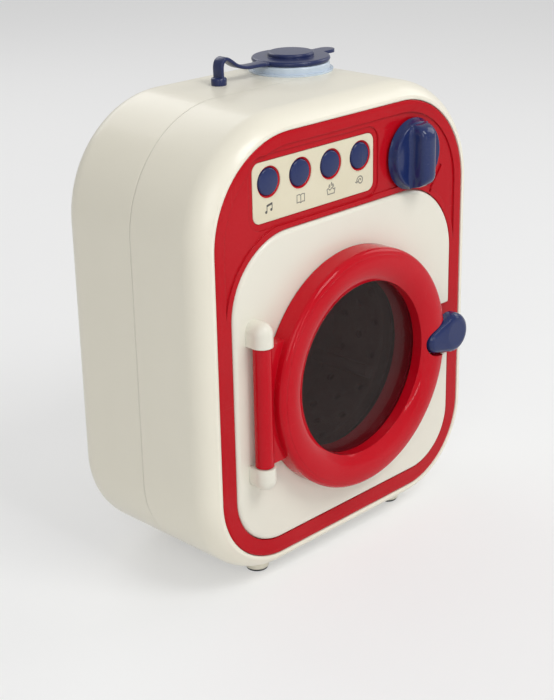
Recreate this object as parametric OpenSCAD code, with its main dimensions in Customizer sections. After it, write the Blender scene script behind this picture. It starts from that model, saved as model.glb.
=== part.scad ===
// Toy washing machine with a working drum, door, dial, buttons, filler cap and drain hose.
// Millimetres. +X is the machine's right as seen from the front, +Y points to its back, +Z up.
// The floor is Z = 0, and Y = 0 is halfway between the foremost and rearmost points.
// Depths (d) in this file are counted back from the face of the red front frame.

/* [Front frame] */
// Width of the red front frame
bezel_w = 164; // [156:1:190]
// Height of the red front frame
bezel_h = 196; // [190:1:220]
// Radius of the frame's lower corners
bezel_r = 37; // [34:1:42]
// Radius of the frame's upper corners
bezel_r_top = 45; // [38:1:50]
// Thickness of the front frame
bezel_t = 4; // [3.6:0.1:5]
// Rounding of the frame's outer front edge
bezel_round = 3; // [1:0.1:3.4]
// Width of the frame's bands beside and under the door panel
band = 8.4; // [7:0.2:10]
// Width of the raised rim round the control field
field_rim = 5.5; // [4:0.5:6.5]
// Depth of the control field below the rim
field_deep = 0.7; // [0.3:0.1:1]

/* [Housing] */
// Swell of the housing past the frame on every side
flare = 8; // [6:0.5:12]
// Housing rim that shows round the frame
rim = 2; // [1.6:0.1:3]
// Radius of the swelling front edge
flare_r = 14; // [10:0.5:18]
// Radius of the back edge
back_r = 10; // [6:0.5:14]
// Depth of the body from the frame's face to the back
body_d = 90; // [88:0.2:105]
// Depth of the rear shell, from the seam to the back
rear_deep = 46; // [45:1:50]
// Wall of the shells
wall = 2.4; // [2:0.1:3]
// Height of the feet
foot_h = 5.6; // [4:0.2:9]
// Radius of a foot
foot_r = 5.5; // [4:0.5:8]
// Distance of the feet from the middle
foot_x = 47; // [36:1:52]

/* [Door panel] */
// Distance from the frame's top down to the panel's top
panel_drop = 42.5; // [42:0.5:48]
// Radius of the panel's upper corners
panel_r_top = 35; // [28:1:38]
// Radius of the panel's lower corners
panel_r_low = 27; // [22:1:32]
// How far the panel stands in front of the frame
panel_proud = 1; // [0.6:0.1:1.4]
// Rounding of the panel's front edge
panel_round = 2.2; // [1:0.1:3]

/* [Door] */
// Outer radius of the door ring
door_r = 57; // [55:0.5:59]
// Radius of the window that shows
window_r = 41.4; // [39:0.2:41.6]
// Thickness of the window
window_t = 1.5; // [1:0.1:2]
// Distance of the door's centre below the frame's centre
door_drop = 18.6; // [17:0.2:22]
// How far the ring stands in front of the frame
ring_proud = 13; // [11.5:0.5:15]
// Radius of the ring's crowned face
crown_r = 14; // [12:0.5:20]
// Radius of the ring's outer front edge
ring_round = 3; // [1:0.5:3.5]
// Depth of the sleeve behind the window that enters the mouth
sleeve_deep = 7; // [4:0.5:8]
// Hinge axis from the door's centre
hinge_x = 62; // [61:0.5:66]
// Hinge axis in front of the frame
hinge_out = 6; // [5.8:0.1:7]
// Radius of the door's hinge barrel
barrel_r = 4.2; // [3.4:0.1:4.4]
// Height of the hinge barrel and its flange
flange_h = 56; // [44:1:60]
// Radius of the hinge pin
pin_r = 1.5; // [1:0.1:2]
// Running clearance of pins and shafts in their bores
run = 0.05; // [0.02:0.01:0.1]
// Gap between moving pieces that do not bear on each other
gap = 0.4; // [0.3:0.05:0.6]

/* [Latch] */
// Latch centre below the door's centre
latch_drop = 0.2; // [0:0.1:4]
// Place of the handle's pivot from the door's centre
pivot_x = 50.5; // [49:0.5:52]
// Radius of the handle's round end
handle_r = 9.8; // [8:0.2:10.5]
// Centre of the round end from the door's centre
handle_x = 62; // [60:0.5:64]
// Radius of the handle's small end
handle_end = 6; // [4:0.2:7]
// Thickness of the handle
handle_t = 6.4; // [5:0.2:7]
// Height of the step in the panel behind the handle
notch_h = 27; // [24:0.5:30]
// Height of the finger pocket in that step
pocket_h = 16; // [14:0.5:18]
// Depth of the finger pocket behind the frame's face
pocket_deep = 7; // [6:0.5:8]

/* [Controls] */
// Label width
label_w = 76.4; // [72:0.2:80]
// Label height
label_h = 26.4; // [24:0.2:27]
// Label centre from the middle, to the left
label_x = 20; // [18:0.5:22]
// Label centre below the frame's top
label_drop = 24; // [22:0.5:25]
// Corner radius of the label
label_r = 4; // [2:0.5:6]
// Width of the step round the label
label_step = 3; // [2:0.2:3.4]
// Radius of a push button
button_r = 6.5; // [5.5:0.1:6.8]
// Distance between the buttons
button_pitch = 19.3; // [17.6:0.1:19.6]
// Button row above the label's centre
button_up = 4; // [3:0.2:4.6]
// Travel of a push button
button_travel = 1.6; // [1:0.1:2]
// Radius of the programme knob
knob_r = 16.4; // [14:0.2:17]
// Height of the knob's grip above the frame's face
knob_proud = 11; // [9:0.5:13]
// Knob centre from the middle
knob_x = 43.4; // [42:0.2:46]
// Knob centre below the frame's top
knob_drop = 25.4; // [25:0.2:27]

/* [Filler] */
// Outer radius of the filler collar
collar_r = 19.5; // [18:0.5:21]
// Height of the collar above the housing
collar_h = 4.2; // [3.4:0.2:5]
// Bore radius of the collar
filler_r = 16.5; // [15:0.5:17]
// Collar centre from the middle
collar_x = 29; // [26:0.5:30]
// Distance of the filler's centre from the back
collar_back = 28; // [26:0.5:30]
// Thickness of the cap's disc
cap_t = 2.4; // [2:0.1:3]
// Radius of the raised middle of the cap
cap_mid_r = 11; // [8:0.5:13]
// Distance from the cap's centre to the tether's stud
tether_reach = 47; // [44:1:50]
// Top of the tether's arch above the housing
tether_h = 12.4; // [11:0.2:14]

/* [Wash system] */
// Outer radius of the tub
tub_r = 56; // [54:0.5:57]
// Depth of the tub's front
tub_front = 12; // [11:0.5:13]
// Depth of the drive and the batteries behind the tub
drive_deep = 30; // [29:0.5:32]
// Gap between the tub's wall and the drum
drum_play = 4.2; // [2.2:0.1:6.2]
// Wall of the tub and the drum
thin = 1.8; // [1.4:0.1:2.2]
// Radius of the drum's shaft
shaft_r = 3; // [2.5:0.1:3.5]
// Radius of a hole in the drum
hole_r = 2.1; // [1.5:0.1:2.4]
// Holes in each ring round the drum
holes_round = 18; // [12:1:20]
// Gear module
gear_m = 0.9; // [0.8:0.05:1]
// Teeth of each pinion
pinion_teeth = 12; // [12:1:14]
// Teeth of each idler wheel
idler_teeth = 36; // [32:1:38]
// Teeth of the drum's gear
drum_teeth = 42; // [40:1:44]
// Face width of the gears
gear_t = 3; // [2:0.5:3.5]
// Angle of the gear train from the drum up to the motor
train_a = 123.5; // [115:0.5:128]

/* [Power] */
// Radius of an AA cell
cell_r = 7.1; // [7:0.05:7.3]
// Length of an AA cell
cell_l = 50.4; // [49:0.1:51]
// Distance between the cells
cell_pitch = 15.2; // [14.8:0.1:16]

/* [Hose] */
// Outer radius of the drain hose
hose_r = 9; // [7:0.5:9]
// Distance of the hose's centre from the back
hose_back = 35; // [32:0.5:35.5]
// Radius of the hose's end coupling
coupling_r = 10.75; // [9.5:0.25:11]
// Length of the hose's end coupling
coupling_l = 23.5; // [20:0.5:26]

/* [Hidden] */
$fn = 96;
split_d = body_d - rear_deep;        // seam of the two shells
collar_d = body_d - collar_back;
tub_back = body_d - drive_deep;
hose_d = body_d - hose_back;
drum_r = tub_r - thin - drum_play;
drum_mouth_r = drum_r - 7;           // opening in the drum's front
eps = 0.01;

// Derived places
handle_front = 14.9;
handle_tilt = 1.6;
front_reach = max(ring_proud, knob_proud, handle_front);
front_y = -(body_d - front_reach) / 2;
mid_z = foot_h + flare + bezel_h / 2;
top_z = mid_z + bezel_h / 2;
low_z = mid_z - bezel_h / 2;
core_x = bezel_w / 2 - bezel_r;
core_z = bezel_h / 2 - bezel_r;
up_x = bezel_w / 2 - bezel_r_top;
up_z = mid_z + bezel_h / 2 - bezel_r_top;
dn_z = mid_z - core_z;
body_top = top_z + flare;
swell = flare - rim;
flare_d = sqrt(2 * flare_r * swell - swell * swell);
ledge_d = bezel_t;
front_in = ledge_d + wall;
back_in = body_d - wall;
door_z = mid_z - door_drop;
latch_z = door_z - latch_drop;
panel_top = top_z - panel_drop;
panel_low = low_z + band;
panel_x = bezel_w / 2 - band;
label_z = top_z - label_drop;
button_z = label_z + button_up;
button_xs = [for (i = [0:3]) -label_x + (i - 1.5) * button_pitch + 0.5];
knob_z = top_z - knob_drop;
field_d = field_deep;
step_d = field_d + 0.6;
label_t = 0.5;
label_face = step_d - label_t + 0.5;

// Working details
fit = 0.25;           // clearance round pieces that drop into a seat
sleeve_wall = 2.6;    // wall of the door's sleeve
sleeve_play = 1.2;    // room between the sleeve and the mouth seal
seal_wall = 1.8;      // wall of the mouth seal, with its fit in the front wall
sleeve_r = window_r + sleeve_wall;
mouth_in = sleeve_r + sleeve_play;
mouth_r = mouth_in + seal_wall;      // hole in the front wall behind the door
ring_back = -panel_proud - 0.5;
flange_r = mouth_r + 3;              // flange that clamps the window
panel_hole_r = flange_r + 2;
flange_t = 1.4;
window_d = ring_back - flange_t - window_t;
knuckle_r = 5;
knuckle_l = 11;
boss_r = 4;
pilot_r = 1.25;
screw_r = 1.5;
head_r = 2.8;
board_d = 14;         // front face of the circuit board
board_t = 1.6;
board_x = [-63, 61];
board_z = [173, 205.5];
gear_add = 0.8;       // tooth height above the pitch circle, in modules
gear_ded = 1.15;      // tooth depth below the pitch circle, in modules
gear_slack = 0.1;     // thinning of each tooth flank
hose_angle = 20;      // rise of the hose where it leaves the housing
hose_up = 34.4;       // height of the hose's start
hose_out = bezel_w / 2 + flare + 0.3;  // start of the hose from the middle
hook_in = hose_out - 5.8;              // inner end of the hose's wire hook

// Route of the drain hose, across and up, from the port to the coupling
HOSE = [
    [90.3, 34.4], [96.5, 37.3], [102, 41.2], [106.8, 46], [110.7, 51.6], [113.6, 57.7],
    [115.4, 64.3], [116, 71], [115.8, 80], [115, 91], [113.8, 103], [112.4, 115],
    [110.9, 128], [109.4, 141], [108, 152], [107, 161], [106.5, 170]
];
hose_end = HOSE[len(HOSE) - 1];

// ---- Placing -----------------------------------------------------------------------

// Moves pieces drawn with depths from the frame's face into the part's frame
module placed() {
    translate([0, front_y, 0]) children();
}

// Extrudes a face drawn in (x, z) from depth d0 to depth d1
module slab(d0, d1) {
    translate([0, d1, 0]) rotate([90, 0, 0]) linear_extrude(d1 - d0) children();
}

// Revolves a profile drawn in (radius, depth) about a line along Y
module spun() {
    rotate([-90, 0, 0]) rotate_extrude() children();
}

// Cylinder along Y from depth d0 to depth d1
module rod(r, d0, d1) {
    translate([0, d1, 0]) rotate([90, 0, 0]) cylinder(r = r, h = d1 - d0);
}

module at(x, z) {
    translate([x, 0, z]) children();
}

// Sweeps a profile drawn in (distance from the corner axis, depth) round the housing.
// The profile reads the frame's radius at the corner it is drawn for from $pr.
module swept(d0, d1) {
    for (sx = [0, 1]) mirror([sx, 0, 0]) {
        translate([up_x, 0, up_z]) mirror([0, 0, 1]) rotate([-90, 0, 0])
            rotate_extrude(angle = 90) let ($pr = bezel_r_top) children();
        translate([core_x, 0, dn_z]) rotate([-90, 0, 0])
            rotate_extrude(angle = 90) let ($pr = bezel_r) children();
        translate([up_x, 0, dn_z]) linear_extrude(up_z - dn_z)
            let ($pr = bezel_r_top) children();
    }
    translate([up_x, 0, up_z]) rotate([0, -90, 0]) linear_extrude(2 * up_x)
        let ($pr = bezel_r_top) children();
    mirror([0, 0, 1]) translate([core_x, 0, -dn_z]) rotate([0, -90, 0])
        linear_extrude(2 * core_x) let ($pr = bezel_r) children();
    translate([-up_x, d0, dn_z]) cube([2 * up_x, d1 - d0, up_z - dn_z]);
}

// Rectangle with round corners, centred
module round_rect(w, h, r) {
    square([w - 2 * r, h], center = true);
    square([w, h - 2 * r], center = true);
    for (sx = [-1, 1]) for (sz = [-1, 1])
        translate([sx * (w / 2 - r), sz * (h / 2 - r)]) circle(r);
}

// Outline with separate upper and lower corner radii, grown by g
module arch_outline(half, z_low, z_top, r_low, r_top, g) {
    rt = r_top + g;
    rl = r_low + g;
    x = half + g;
    zt = z_top + g;
    zl = z_low - g;
    translate([-x, zl + rl]) square([2 * x, zt - rt - zl - rl]);
    translate([-x + rt, zt - rt]) square([2 * (x - rt), rt]);
    translate([-x + rl, zl]) square([2 * (x - rl), rl]);
    for (s = [-1, 1]) {
        translate([s * (x - rt), zt - rt]) circle(rt);
        translate([s * (x - rl), zl + rl]) circle(rl);
    }
}

// Outline of the frame, grown or shrunk by g
module bezel_outline(g) {
    arch_outline(bezel_w / 2, low_z, top_z, bezel_r, bezel_r_top, g);
}

// Outline of the door panel, grown by g
module panel_outline(g) {
    arch_outline(panel_x, panel_low, panel_top, panel_r_low, panel_r_top, g);
}

// Step in the panel that lets the frame show behind the latch, grown by g
module pocket_outline(g) {
    x0 = pivot_x - 3 - g;
    translate([x0, latch_z - 2 - notch_h / 2 - g])
        square([panel_x + 6 - x0, notch_h + 2 * g]);
}

// ---- Housing -----------------------------------------------------------------------

module housing_profile() {
    br = $pr + flare;
    translate([0, flare_d]) square([br, body_d - back_r - flare_d]);
    square([br - flare_r, flare_d]);
    intersection() {
        translate([br - flare_r, flare_d]) circle(flare_r);
        square([br, flare_d]);
    }
    translate([0, body_d - back_r]) square([br - back_r, back_r]);
    intersection() {
        translate([br - back_r, body_d - back_r]) circle(back_r);
        translate([0, body_d - back_r]) square([br, back_r]);
    }
}

module cavity_profile() {
    br = $pr + flare;
    r = br - wall;
    translate([0, flare_d]) square([r, body_d - back_r - flare_d]);
    intersection() {
        union() {
            translate([br - flare_r, flare_d]) circle(flare_r - wall);
            square([br - flare_r, flare_d]);
        }
        translate([0, front_in]) square([r, flare_d - front_in]);
    }
    translate([0, body_d - back_r]) square([br - back_r, back_r - wall]);
    intersection() {
        translate([br - back_r, body_d - back_r]) circle(back_r - wall);
        translate([0, body_d - back_r]) square([r, back_r]);
    }
}

// Straight band inside the housing's wall, from depth d0 to depth d1
module band_profile(inset, d0, d1) {
    translate([0, d0]) square([$pr + flare - inset, d1 - d0]);
}

module housing_solid() {
    swept(0, body_d) housing_profile();
}

// Keeps only the part of a profile between two depths
module between(d0, d1) {
    intersection() {
        children();
        translate([0, d0]) square([bezel_r_top + flare + 1, d1 - d0]);
    }
}

screw_spots = [for (sx = [-1, 1]) for (sz = [-1, 0, 1])
    [sx * (sz <= 0 ? bezel_w / 2 - 3 : up_x + 32),
     sz == 0 ? mid_z - 6 : sz < 0 ? dn_z - 3.6 : up_z + 27]];
tub_spots = [for (a = [45, 135, 225, 315])
    [(tub_r + 5) * cos(a), door_z + (tub_r + 5) * sin(a)]];
ear_d = tub_front + 0.4;
board_spots = [for (x = [board_x[0] + 4, board_x[1] - 4]) for (z = [board_z[0] + 3.5, board_z[1] - 3.5])
    [x, z]];
foot_ds = [16, 74];

module feet(d_low, d_high) {
    for (x = [-foot_x, foot_x]) for (d = foot_ds)
        if (d > d_low && d < d_high) translate([x, d, foot_h - 4.6]) cylinder(r = foot_r, h = 6.4);
}

module front_shell() {
    color("ivory") placed() difference() {
        union() {
            difference() {
                swept(0, split_d) between(0, split_d) housing_profile();
                swept(front_in, split_d) between(front_in, split_d + 1) cavity_profile();
            }
            feet(0, split_d);
            for (p = screw_spots) at(p[0], p[1]) rod(boss_r, front_in - eps, split_d + 3);
            for (p = tub_spots) at(p[0], p[1]) rod(boss_r - 0.5, front_in - eps, ear_d);
            for (p = board_spots) at(p[0], p[1]) rod(boss_r - 1, front_in - eps, board_d);
        }
        slab(-1, ledge_d) bezel_outline(fit);
        at(0, door_z) rod(mouth_r, 0, split_d);
        slab(0, front_in + 1) translate([-label_x + 0.5, button_z])
            round_rect(3 * button_pitch + 17, 17, 4);
        at(knob_x, knob_z) rod(10, 0, front_in + 1);
        slab(0, front_in + 1) pocket_rect(1.6 + fit);
        for (p = screw_spots) at(p[0], p[1]) rod(pilot_r, split_d - 16, split_d + 4);
        for (p = tub_spots) at(p[0], p[1]) rod(pilot_r, front_in, ear_d + 1);
        for (p = board_spots) at(p[0], p[1]) rod(0.8, front_in + 1, board_d + 1);
    }
}

// Deep screw wells in the back, slots of the speaker grille and the battery opening
module rear_shell() {
    well_d = split_d + 3;
    color("ivory") placed() difference() {
        union() {
            difference() {
                union() {
                    swept(split_d, body_d) between(split_d, body_d) housing_profile();
                    swept(split_d - 3, split_d) band_profile(wall + 0.15, split_d - 3, split_d + eps);
                }
                swept(split_d, back_in) between(split_d + 2, body_d) cavity_profile();
                swept(split_d - 4, split_d + 2) band_profile(wall + 1.35, split_d - 4, split_d + 2 + eps);
            }
            feet(split_d, body_d);
            for (p = screw_spots) at(p[0], p[1]) rod(boss_r + 1, well_d, back_in + eps);
            grille_ring();
            difference() {
                at(0, lobe_z) rod(4.5, back_in - 7.4, back_in + eps);
                translate([-5, back_in - 8, lobe_z - 5]) cube([10, 7.2, 1.75]);
            }
        }
        for (p = screw_spots) at(p[0], p[1]) {
            rod(boss_r - 0.6, well_d + 2.4, body_d + 1);
            rod(screw_r + 0.2, well_d - 1, well_d + 3);
        }
        translate([0, battery_mid[1], battery_mid[2]])
            cube([door_w + 2 * fit, 2 * wall + 2, door_hh + 2 * fit], center = true);
        at(0, lobe_z) rod(5 + fit, body_d - 2, body_d + 1);
        translate([-5 - fit, body_d - 2, lobe_z - 5]) cube([10 + 2 * fit, 3, 5]);
        at(0, lobe_z) rod(1, back_in - 6.6, body_d);
        grille();
        translate([collar_x, collar_d, body_top - wall - 2]) cylinder(r = filler_r + 1.1, h = wall + 3);
        at_port() translate([0, 0, -14]) cylinder(r = hose_r - 0.15, h = 24);
        at_port() translate([0, 0, -22]) cylinder(r = pipe_r + 0.4, h = 10);
        at_port() translate([0, 0, -0.2]) cylinder(r = hose_r + 0.3, h = 10);
        translate([hook_in - 0.5, hose_d, hook_z]) rotate([0, 90, 0]) cylinder(r = 1.45, h = 10);
    }
}

// ---- Speaker grille: rings of slots ------------------------------------------------

speaker_x = 52;
speaker_z = 122;
speaker_r = 20;

module grille() {
    at(speaker_x, speaker_z) {
        rod(1.4, back_in - 1, body_d + 1);
        for (i = [1:3]) for (k = [0 : 6 * i - 1])
            rotate([0, k * 60 / i, 0]) translate([i * 4.6, 0, 0]) rod(1.4, back_in - 1, body_d + 1);
    }
}

module grille_ring() {
    at(speaker_x, speaker_z) difference() {
        rod(speaker_r + 2, back_in - 3, back_in + eps);
        rod(speaker_r + 0.3, back_in - 4, back_in + 1);
    }
}

pocket_x0 = door_r - 0.5;
pocket_x1 = panel_x + 0.6;
pocket_z = latch_z - 4;

// Finger pocket in the frame, grown by g
module pocket_rect(g) {
    translate([(pocket_x0 + pocket_x1) / 2, pocket_z])
        round_rect(pocket_x1 - pocket_x0 + 2 * g, pocket_h + 2 * g, 3 + g);
}

// ---- Front frame -------------------------------------------------------------------

module bezel_profile() {
    translate([0, bezel_round]) square([$pr, bezel_t - bezel_round]);
    square([$pr - bezel_round, bezel_round]);
    intersection() {
        translate([$pr - bezel_round, bezel_round]) circle(bezel_round);
        square([$pr, bezel_round]);
    }
}

module front_bezel() {
    color("crimson") placed() difference() {
        union() {
            difference() {
                swept(0, bezel_t) bezel_profile();
                slab(-1, bezel_t + 1) difference() {
                    panel_outline(fit);
                    pocket_outline(-fit);
                }
            }
            // back of the finger pocket
            slab(bezel_t - eps, pocket_deep + 2) pocket_rect(1.6);
        }
        at(0, door_z) rod(panel_hole_r, -1, bezel_t + 1);
        // control field, label step and label seat
        slab(-1, field_d) difference() {
            intersection() {
                bezel_outline(-field_rim);
                translate([-bezel_w / 2, panel_top - panel_r_top]) square([bezel_w, bezel_h]);
            }
            panel_outline(3);
        }
        slab(-1, step_d) translate([-label_x, label_z])
            round_rect(label_w + 2 * label_step, label_h + 2 * label_step, label_r + label_step);
        slab(-1, step_d + 0.5) translate([-label_x, label_z])
            round_rect(label_w + 2 * fit, label_h + 2 * fit, label_r + fit);
        for (x = button_xs) at(x, button_z) rod(button_r + gap, -1, bezel_t + 1);
        at(knob_x, knob_z) rod(5 + run, -1, bezel_t + 1);
        // finger pocket with a rounded mouth
        slab(-1, pocket_deep) pocket_rect(0);
        // pointer groove beside the knob
        slab(-1, field_d + 0.6) translate([knob_x + 18.6, knob_z - 15.6]) rotate(51)
            round_rect(15, 1.8, 0.8);
    }
}

module control_label() {
    color("wheat") placed() slab(step_d, step_d + label_t) difference() {
        translate([-label_x, label_z]) round_rect(label_w, label_h, label_r);
        for (x = button_xs) translate([x, button_z]) circle(button_r + gap + 0.5);
    }
}

// ---- Door panel --------------------------------------------------------------------

// The panel's front edge is rounded by a smaller top layer on quarter-round corners
module panel_body() {
    d0 = -panel_proud;
    r = panel_round;
    slab(d0 + r, ledge_d) panel_outline(0);
    slab(d0, d0 + r + eps) panel_outline(-r);
    x = panel_x - r;
    zt = panel_top - r;
    zl = panel_low + r;
    for (s = [-1, 1]) {
        translate([s * x, d0 + r, zl + panel_r_low - r])
            cylinder(r = r, h = zt - zl - panel_r_top - panel_r_low + 2 * r);
        translate([s * (x - panel_r_top + r), d0 + r, zt - panel_r_top + r])
            corner_roll(panel_r_top - r, r, s, 1);
        translate([s * (x - panel_r_low + r), d0 + r, zl + panel_r_low - r])
            corner_roll(panel_r_low - r, r, s, -1);
    }
    translate([-x + panel_r_top - r, d0 + r, zt]) rotate([0, 90, 0])
        cylinder(r = r, h = 2 * (x - panel_r_top + r));
    translate([-x + panel_r_low - r, d0 + r, zl]) rotate([0, 90, 0])
        cylinder(r = r, h = 2 * (x - panel_r_low + r));
}

// Quarter of a ring of round section, for one corner of the panel
module corner_roll(big, r, sx, sz) {
    mirror([sx < 0 ? 1 : 0, 0, 0]) mirror([0, 0, sz > 0 ? 1 : 0])
        rotate([-90, 0, 0]) rotate_extrude(angle = 90) translate([big, 0]) circle(r);
}

// Hinge knuckle on the panel, with a round end
module knuckle(z0, up) {
    z1 = z0 + up * (knuckle_l - knuckle_r);
    translate([-hinge_x, -hinge_out, min(z0, z1)]) {
        cylinder(r = knuckle_r, h = abs(z1 - z0));
        translate([-knuckle_r, 0, 0])
            cube([2 * knuckle_r, hinge_out - panel_proud + eps, abs(z1 - z0)]);
    }
    translate([-hinge_x, -hinge_out, z1]) {
        sphere(r = knuckle_r);
        rod(knuckle_r, 0, hinge_out - panel_proud + eps);
    }
}

knuckle_gap = flange_h / 2 + gap;

module door_surround() {
    color("ivory") placed() difference() {
        union() {
            panel_body();
            knuckle(door_z + knuckle_gap, 1);
            knuckle(door_z - knuckle_gap, -1);
        }
        at(0, door_z) rod(panel_hole_r, -20, ledge_d + 1);
        slab(-2, ledge_d + 1) pocket_outline(0);
        translate([-hinge_x, -hinge_out, door_z - pin_half])
            cylinder(r = pin_r, h = 2 * pin_half);
    }
}

pin_half = flange_h / 2 + gap + 7;

module hinge_pin() {
    color("silver") placed() translate([-hinge_x, -hinge_out, door_z - pin_half])
        cylinder(r = pin_r, h = 2 * pin_half);
}

// ---- Door --------------------------------------------------------------------------

// Section of the ring: crowned face, rounded outer edge, seats for window and sleeve
module ring_profile() {
    crest_r = (door_r + window_r) / 2 + 1.3;
    cd = -ring_proud + crown_r;
    edge_r = door_r - ring_round;
    edge_d = cd - sqrt(pow(crown_r - ring_round, 2) - pow(edge_r - crest_r, 2));
    difference() {
        union() {
            intersection() {
                translate([crest_r, cd]) circle(crown_r);
                translate([window_r, -ring_proud]) square([edge_r - window_r, ring_proud + ring_back]);
            }
            intersection() {
                translate([edge_r - eps, edge_d]) square([ring_round + eps, ring_back - edge_d]);
                translate([window_r, -ring_proud]) square([door_r - window_r, ring_proud + ring_back]);
            }
            intersection() {
                translate([edge_r, edge_d]) circle(ring_round);
                translate([edge_r - eps, -ring_proud]) square([ring_round + 1, edge_d + ring_proud + eps]);
                translate([crest_r, cd]) circle(crown_r);
            }
        }
        translate([0, window_d]) square([window_r + 1.7, 20]);
        translate([0, ring_back - flange_t]) square([flange_r + 0.2, 20]);
    }
}

// Outline of the handle in the ring's plane, grown by g
module handle_outline(g) {
    dx = handle_x - pivot_x;
    lean = atan2(handle_tilt, dx);
    a = acos((handle_r - handle_end) / norm([dx, handle_tilt]));
    big = [handle_x, latch_z + handle_tilt / 2];
    small = [pivot_x, latch_z - handle_tilt / 2];
    translate(big) circle(handle_r + g);
    translate(small) circle(handle_end + g);
    polygon([for (p = [[big, handle_r, 1], [big, handle_r, -1], [small, handle_end, -1],
                       [small, handle_end, 1]])
        p[0] + (p[1] + g - 0.02) * [cos(180 + lean - p[2] * a), sin(180 + lean - p[2] * a)]]);
}

handle_back = -handle_front + handle_t;
pivot_d = handle_back + 1.8;
lug_r = 2.6;
lug_h = 7;
keeper_h = 10;

module door_ring() {
    color("crimson") placed() difference() {
        union() {
            at(0, door_z) spun() ring_profile();
            // hinge flange and barrel
            translate([-hinge_x, 0, door_z - flange_h / 2]) {
                translate([0, -hinge_out, 0]) cylinder(r = barrel_r, h = flange_h);
                translate([0, ring_back - 6, 0]) cube([16, 6, flange_h]);
            }
        }
        at(0, door_z) rod(window_r, -30, window_d + eps);
        at(0, door_z) rod(window_r + 1.7, window_d, 5);
        at(0, door_z) rod(flange_r + 0.2, ring_back - flange_t, 5);
        translate([-hinge_x, -hinge_out, door_z - flange_h / 2 - 1])
            cylinder(r = pin_r + run, h = flange_h + 2);
        // seat of the latch handle, slot for its lug and bore for its pin
        slab(-30, handle_back + gap) handle_outline(gap);
        slab(-30, handle_back + gap + 1.5) intersection() {
            handle_outline(gap + 0.7);
            translate([pivot_x - 20, latch_z - 20]) square([27, 40]);
        }
        translate([pivot_x - lug_r - gap - 0.2, handle_back - eps, latch_z - lug_h / 2 - gap])
            cube([2 * (lug_r + gap + 0.2), pivot_d + lug_r + gap - handle_back, lug_h + gap + 4]);
        translate([pivot_x, pivot_d, latch_z - 9]) cylinder(r = 1, h = 18.4);
        for (a = [45 : 90 : 315]) at(0, door_z) rotate([0, a, 0]) translate([flange_r - 3, 0, 0])
            rod(0.8, ring_back - 7, ring_back);
    }
}

module door_window() {
    color([0.16, 0.13, 0.13, 0.7]) placed() at(0, door_z)
        rod(window_r + 1.5, window_d, window_d + window_t);
}

// Flange that clamps the window, with the sleeve that enters the mouth
module door_sleeve() {
    d0 = ring_back - flange_t;
    color("firebrick") placed() at(0, door_z) difference() {
        union() {
            rod(flange_r, d0, ring_back);
            rod(sleeve_r, d0, sleeve_deep - 1);
            spun() intersection() {
                translate([sleeve_r - 1, sleeve_deep - 1]) circle(1);
                translate([window_r, d0]) square([10, sleeve_deep + 9]);
            }
            rod(sleeve_r - 1, d0, sleeve_deep);
        }
        rod(window_r, d0 - 1, sleeve_deep + 1);
        for (a = [45 : 90 : 315]) rotate([0, a, 0]) translate([flange_r - 3, 0, 0])
            rod(1.25, d0 - 1, ring_back + 1);
    }
}

module door_screws() {
    d0 = ring_back - flange_t;
    color("silver") placed() at(0, door_z)
        for (a = [45 : 90 : 315]) rotate([0, a, 0]) translate([flange_r - 3, 0, 0]) difference() {
            union() {
                rod(1.2, d0, ring_back + eps);
                rod(0.75, d0 - 4.5, d0 + eps);
                rod(2.2, ring_back, ring_back + 1.1);
            }
            translate([-1.6, ring_back + 0.6, -0.3]) cube([3.2, 1, 0.6]);
        }
}

// ---- Latch -------------------------------------------------------------------------

// Domed handle: a big and a small rounded end joined smoothly, with lug and tongue behind
module latch_handle() {
    color("navy") placed() difference() {
        union() {
            hull() {
                translate([handle_x, handle_back, latch_z + handle_tilt / 2])
                    dome(handle_r, handle_t, 3.4);
                translate([pivot_x, handle_back, latch_z - handle_tilt / 2])
                    dome(handle_end, handle_t - 1.2, 3);
            }
            translate([pivot_x, pivot_d, latch_z - lug_h / 2]) cylinder(r = lug_r, h = lug_h);
            translate([pivot_x - lug_r, handle_back - 1, latch_z - lug_h / 2])
                cube([2 * lug_r, pivot_d - handle_back + 1, lug_h]);
            // tongue that reaches the keeper
            translate([door_r + 5.4, handle_back - 1, pocket_z - 3])
                cube([2.6, 2.6 - handle_back + 1, 6]);
            translate([door_r + 5.4 + 1.3, 2.6, pocket_z - 3]) cylinder(r = 1.3, h = 6);
        }
        translate([pivot_x, pivot_d, latch_z - 9]) cylinder(r = 1 + run, h = 18);
    }
}

// Low rounded button along -Y: a base disc and a smaller crown
module dome(r, h, edge) {
    rotate([90, 0, 0]) {
        cylinder(r = r, h = h - edge, $fn = 32);
        translate([0, 0, h - edge]) for (k = [1:4])
            cylinder(r = r - edge * (1 - cos(k * 22.5)), h = edge * sin(k * 22.5), $fn = 32);
    }
}

module latch_pin() {
    color("silver") placed() translate([pivot_x, pivot_d, latch_z - 8.6])
        cylinder(r = 1 - 0.01, h = 17.2);
}

// Spring strip in the pocket that the tongue slides past
module latch_keeper() {
    x0 = pocket_x0;
    color("silver") placed() {
        translate([x0, 0.4, pocket_z - keeper_h / 2]) cube([1.2, pocket_deep - 0.4, keeper_h]);
        translate([x0 + 1.2 - eps, 0.4, pocket_z - keeper_h / 2])
            cube([door_r + 5.1 - x0 - 1.2, 1, keeper_h]);
    }
}

module latch_spring() {
    turns = 3;
    color("silver") placed()
        translate([pivot_x, pivot_d, latch_z + lug_h / 2 + 0.7])
            coil(1.4, 0.25, turns, 2.4, 12, 6);
}

// Helical wire: mean radius, wire radius, turns, height, steps per turn and sides
module coil(big, r, turns, height, steps, sides) {
    n = turns * steps;
    rings = [for (i = [0:n]) let (a = i * 360 / steps) [for (k = [0 : sides - 1])
        let (b = k * 360 / sides) [
            (big + r * cos(b)) * cos(a), (big + r * cos(b)) * sin(a),
            height * i / n + r * sin(b)]]];
    tube(rings, sides);
}

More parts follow.
